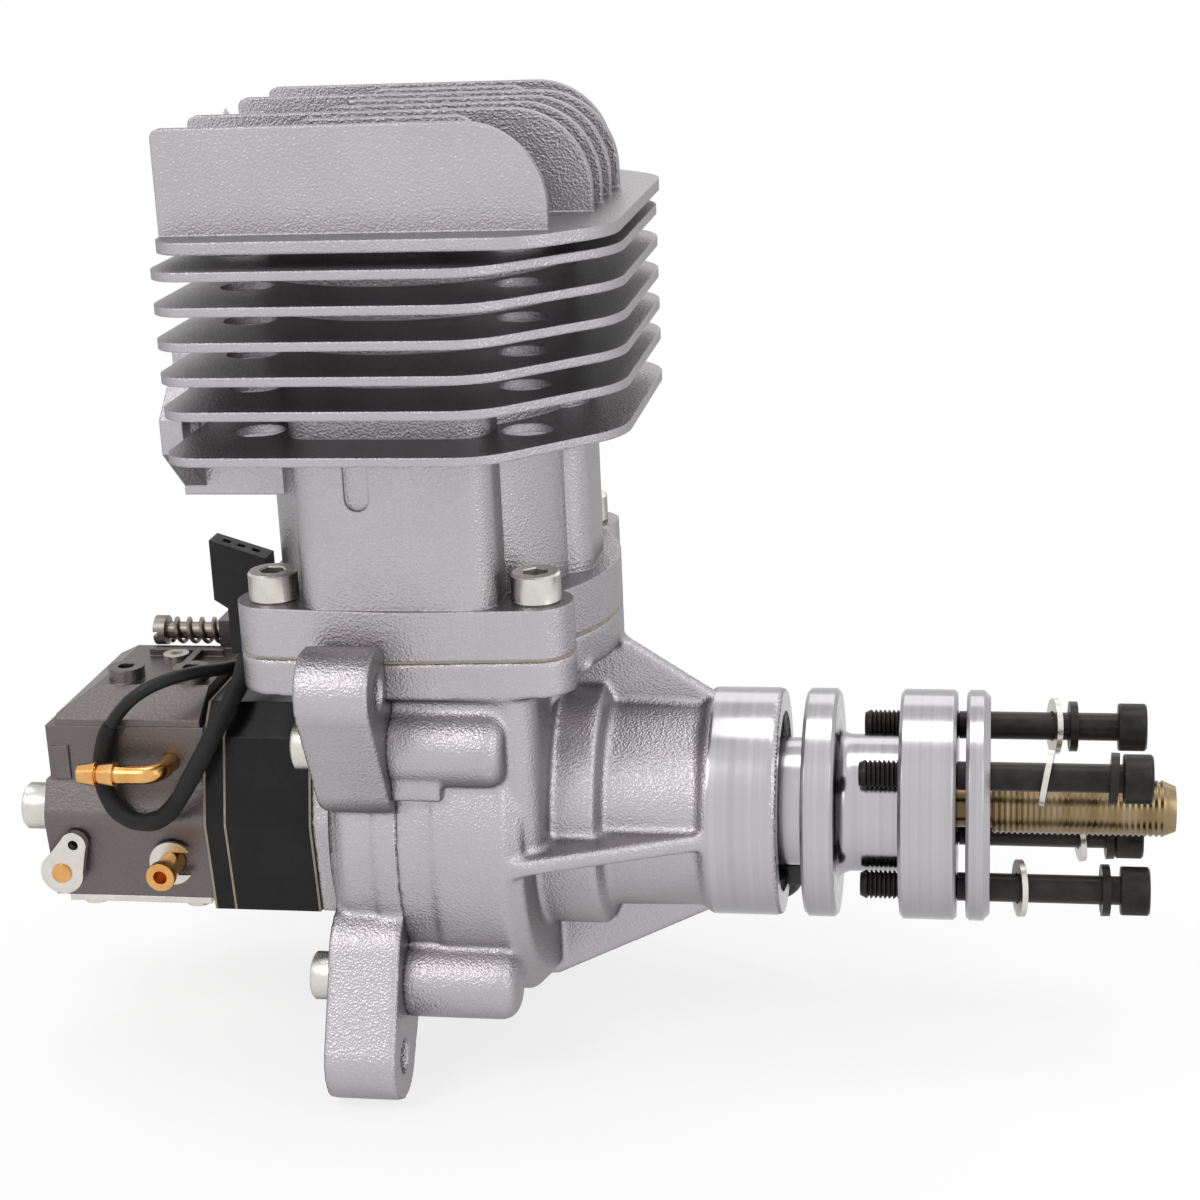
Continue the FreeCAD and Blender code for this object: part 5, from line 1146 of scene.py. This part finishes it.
LAMPS = (
    Lamp("key", (-0.40, -0.60, 0.75), (0.03, 0, 0.03), (0.45, 0.45), 2.6),
    Lamp("fill", (0.85, -0.45, 0.45), (0.05, 0, 0.03), (0.30, 0.7), 1.6),
    Lamp("top", (0.05, 0.15, 0.95), (0.03, 0, 0.05), (0.8, 0.4), 2.6),
    Lamp("back", (0.2, 0.8, 0.5), (0.03, 0, 0.05), (0.8, 0.4), 1.2),
)


@dataclass(frozen=True)
class Studio:
    """Camera, lights and floor.

    Attributes:
        eye: the camera's place in millimetres.
        heading: turn about Z in degrees.
        pitch: tilt below the horizon in degrees.
        roll: turn about the line of sight in degrees.
        lens: focal length for a 36 mm sensor.
        room: grey levels of the soft room from straight below to straight above.
        room_strength: how brightly the room shines.
        glow_span: from where to where the floor turns white, in metres from the engine's axis.
        glow_least: how white it is beside the engine.
        gap: how far the floor lies below the engine, in metres.
    """

    eye: Point = (113.61, -400.08, 165.14)
    heading: float = 9.894
    pitch: float = 17.413
    roll: float = -2.552
    lens: float = 71.68
    room: tuple[tuple[float, float], ...] = ((0.0, 0.60), (1.0, 0.85), (0.38, 0.42), (0.50, 0.16), (0.62, 0.34))
    room_strength: float = 0.9
    glow_span: tuple[float, float] = (0.09, 0.26)
    glow_least: float = 0.76
    gap: float = 0.0005

    def camera(self) -> None:
        """Sets the camera at the photograph's place."""
        psi, pit, rol = (math.radians(value) for value in (self.heading, self.pitch, self.roll))
        ahead = Vector((-math.sin(psi) * math.cos(pit), math.cos(psi) * math.cos(pit), -math.sin(pit)))
        side = Vector((math.cos(psi), math.sin(psi), 0))
        upward = side.cross(ahead)
        right = side * math.cos(rol) + upward * math.sin(rol)
        upward = upward * math.cos(rol) - side * math.sin(rol)
        data = bpy.data.cameras.new("camera")
        data.lens = self.lens
        data.sensor_width = 36.0
        data.clip_start = 0.01
        camera = bpy.data.objects.new("camera", data)
        turn = Matrix((right, upward, -ahead)).transposed().to_4x4()
        camera.matrix_world = Matrix.Translation(Vector(self.eye) * MM) @ turn
        bpy.context.scene.collection.objects.link(camera)
        bpy.context.scene.camera = camera

    def world(self) -> None:
        """Makes the white background and the soft room that the metal reflects."""
        world = bpy.data.worlds.new("studio")
        bpy.context.scene.world = world
        world.use_nodes = True
        tree = world.node_tree
        tree.nodes.clear()
        nodes = Nodes(tree)
        way = nodes.add("SeparateXYZ", Vector=nodes.add("TexCoord").outputs["Generated"])
        ramp = nodes.add("ValToRGB")
        nodes.feed(ramp, "Fac", nodes.ramp(way.outputs[2], -1.0, 1.0, 0.0, 1.0))
        stops = ramp.color_ramp.elements
        for index, (place, value) in enumerate(self.room):
            stop = stops[index] if index < 2 else stops.new(place)
            stop.position, stop.color = place, (value, value, value, 1)
        room = nodes.add("Background", Color=ramp.outputs[0], Strength=self.room_strength)
        plain = nodes.add("Background", Color=(1, 1, 1, 1), Strength=1.0)
        mixer = nodes.add("MixShader")
        nodes.feed(mixer, "0", seen_directly(nodes))
        nodes.feed(mixer, "1", room.outputs[0])
        nodes.feed(mixer, "2", plain.outputs[0])
        out = nodes.add("OutputWorld")
        nodes.feed(out, "Surface", mixer.outputs[0])

    def floor(self, level: float) -> None:
        """Lays the pale floor.

        Args:
            level: its height in metres.
        """
        mesh = bmesh.new()
        bmesh.ops.create_grid(mesh, x_segments=1, y_segments=1, size=3.0)
        bmesh.ops.translate(mesh, vec=(0, 0, level), verts=mesh.verts)
        data = bpy.data.meshes.new("floor")
        mesh.to_mesh(data)
        mesh.free()
        material = bpy.data.materials.new("pale_floor")
        material.use_nodes = True
        nodes = Nodes(material.node_tree)
        shader = material.node_tree.nodes["Principled BSDF"]
        shader.inputs["Roughness"].default_value = 0.9
        tone = nodes.ramp(nodes.noise(place_of(nodes), 3.0), 0.0, 1.0, 0.97, 1.0)
        nodes.feed(shader, "Base Color", nodes.add("CombineColor", Red=tone, Green=tone, Blue=tone).outputs[0])
        glow = nodes.add("Emission", Color=(1, 1, 1, 1), Strength=1.0)
        flat = nodes.add("VectorMath", operation="MULTIPLY")
        nodes.feed(flat, "0", place_of(nodes))
        flat.inputs[1].default_value = (1, 1, 0)
        reach = nodes.add("VectorMath", operation="LENGTH")
        nodes.feed(reach, "0", flat.outputs[0])
        plain = nodes.ramp(reach.outputs["Value"], *self.glow_span, self.glow_least, 1.0)
        seen = nodes.math("MULTIPLY", seen_directly(nodes), plain)
        mixer = nodes.add("MixShader")
        nodes.feed(mixer, "0", seen)
        nodes.feed(mixer, "1", shader.outputs[0])
        nodes.feed(mixer, "2", glow.outputs[0])
        nodes.feed(material.node_tree.nodes["Material Output"], "Surface", mixer.outputs[0])
        data.materials.append(material)
        floor = bpy.data.objects.new("floor", data)
        bpy.context.scene.collection.objects.link(floor)
        floor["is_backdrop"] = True

    def build(self, low: float) -> None:
        """Sets the whole studio.

        Args:
            low: the object's lowest point in metres.
        """
        self.camera()
        self.world()
        self.floor(low - self.gap)
        for lamp in LAMPS:
            lamp.build()
        bpy.context.scene.view_settings.view_transform = "Standard"


def main() -> None:
    """Builds the studio, the finishes and the engine's visible detail."""
    logging.basicConfig(level=logging.INFO)
    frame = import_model()
    cad_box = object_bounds()
    Studio().build(cad_box[0][2])
    shop = Workshop(frame)
    shop.mix_finishes()
    shop.dress()
    Lead(shop).build()
    Fasteners(shop).build()
    Stud(shop).build()
    Crankcase(shop).build()
    bpy.context.view_layer.update()


if __name__ == "__main__":
    main()
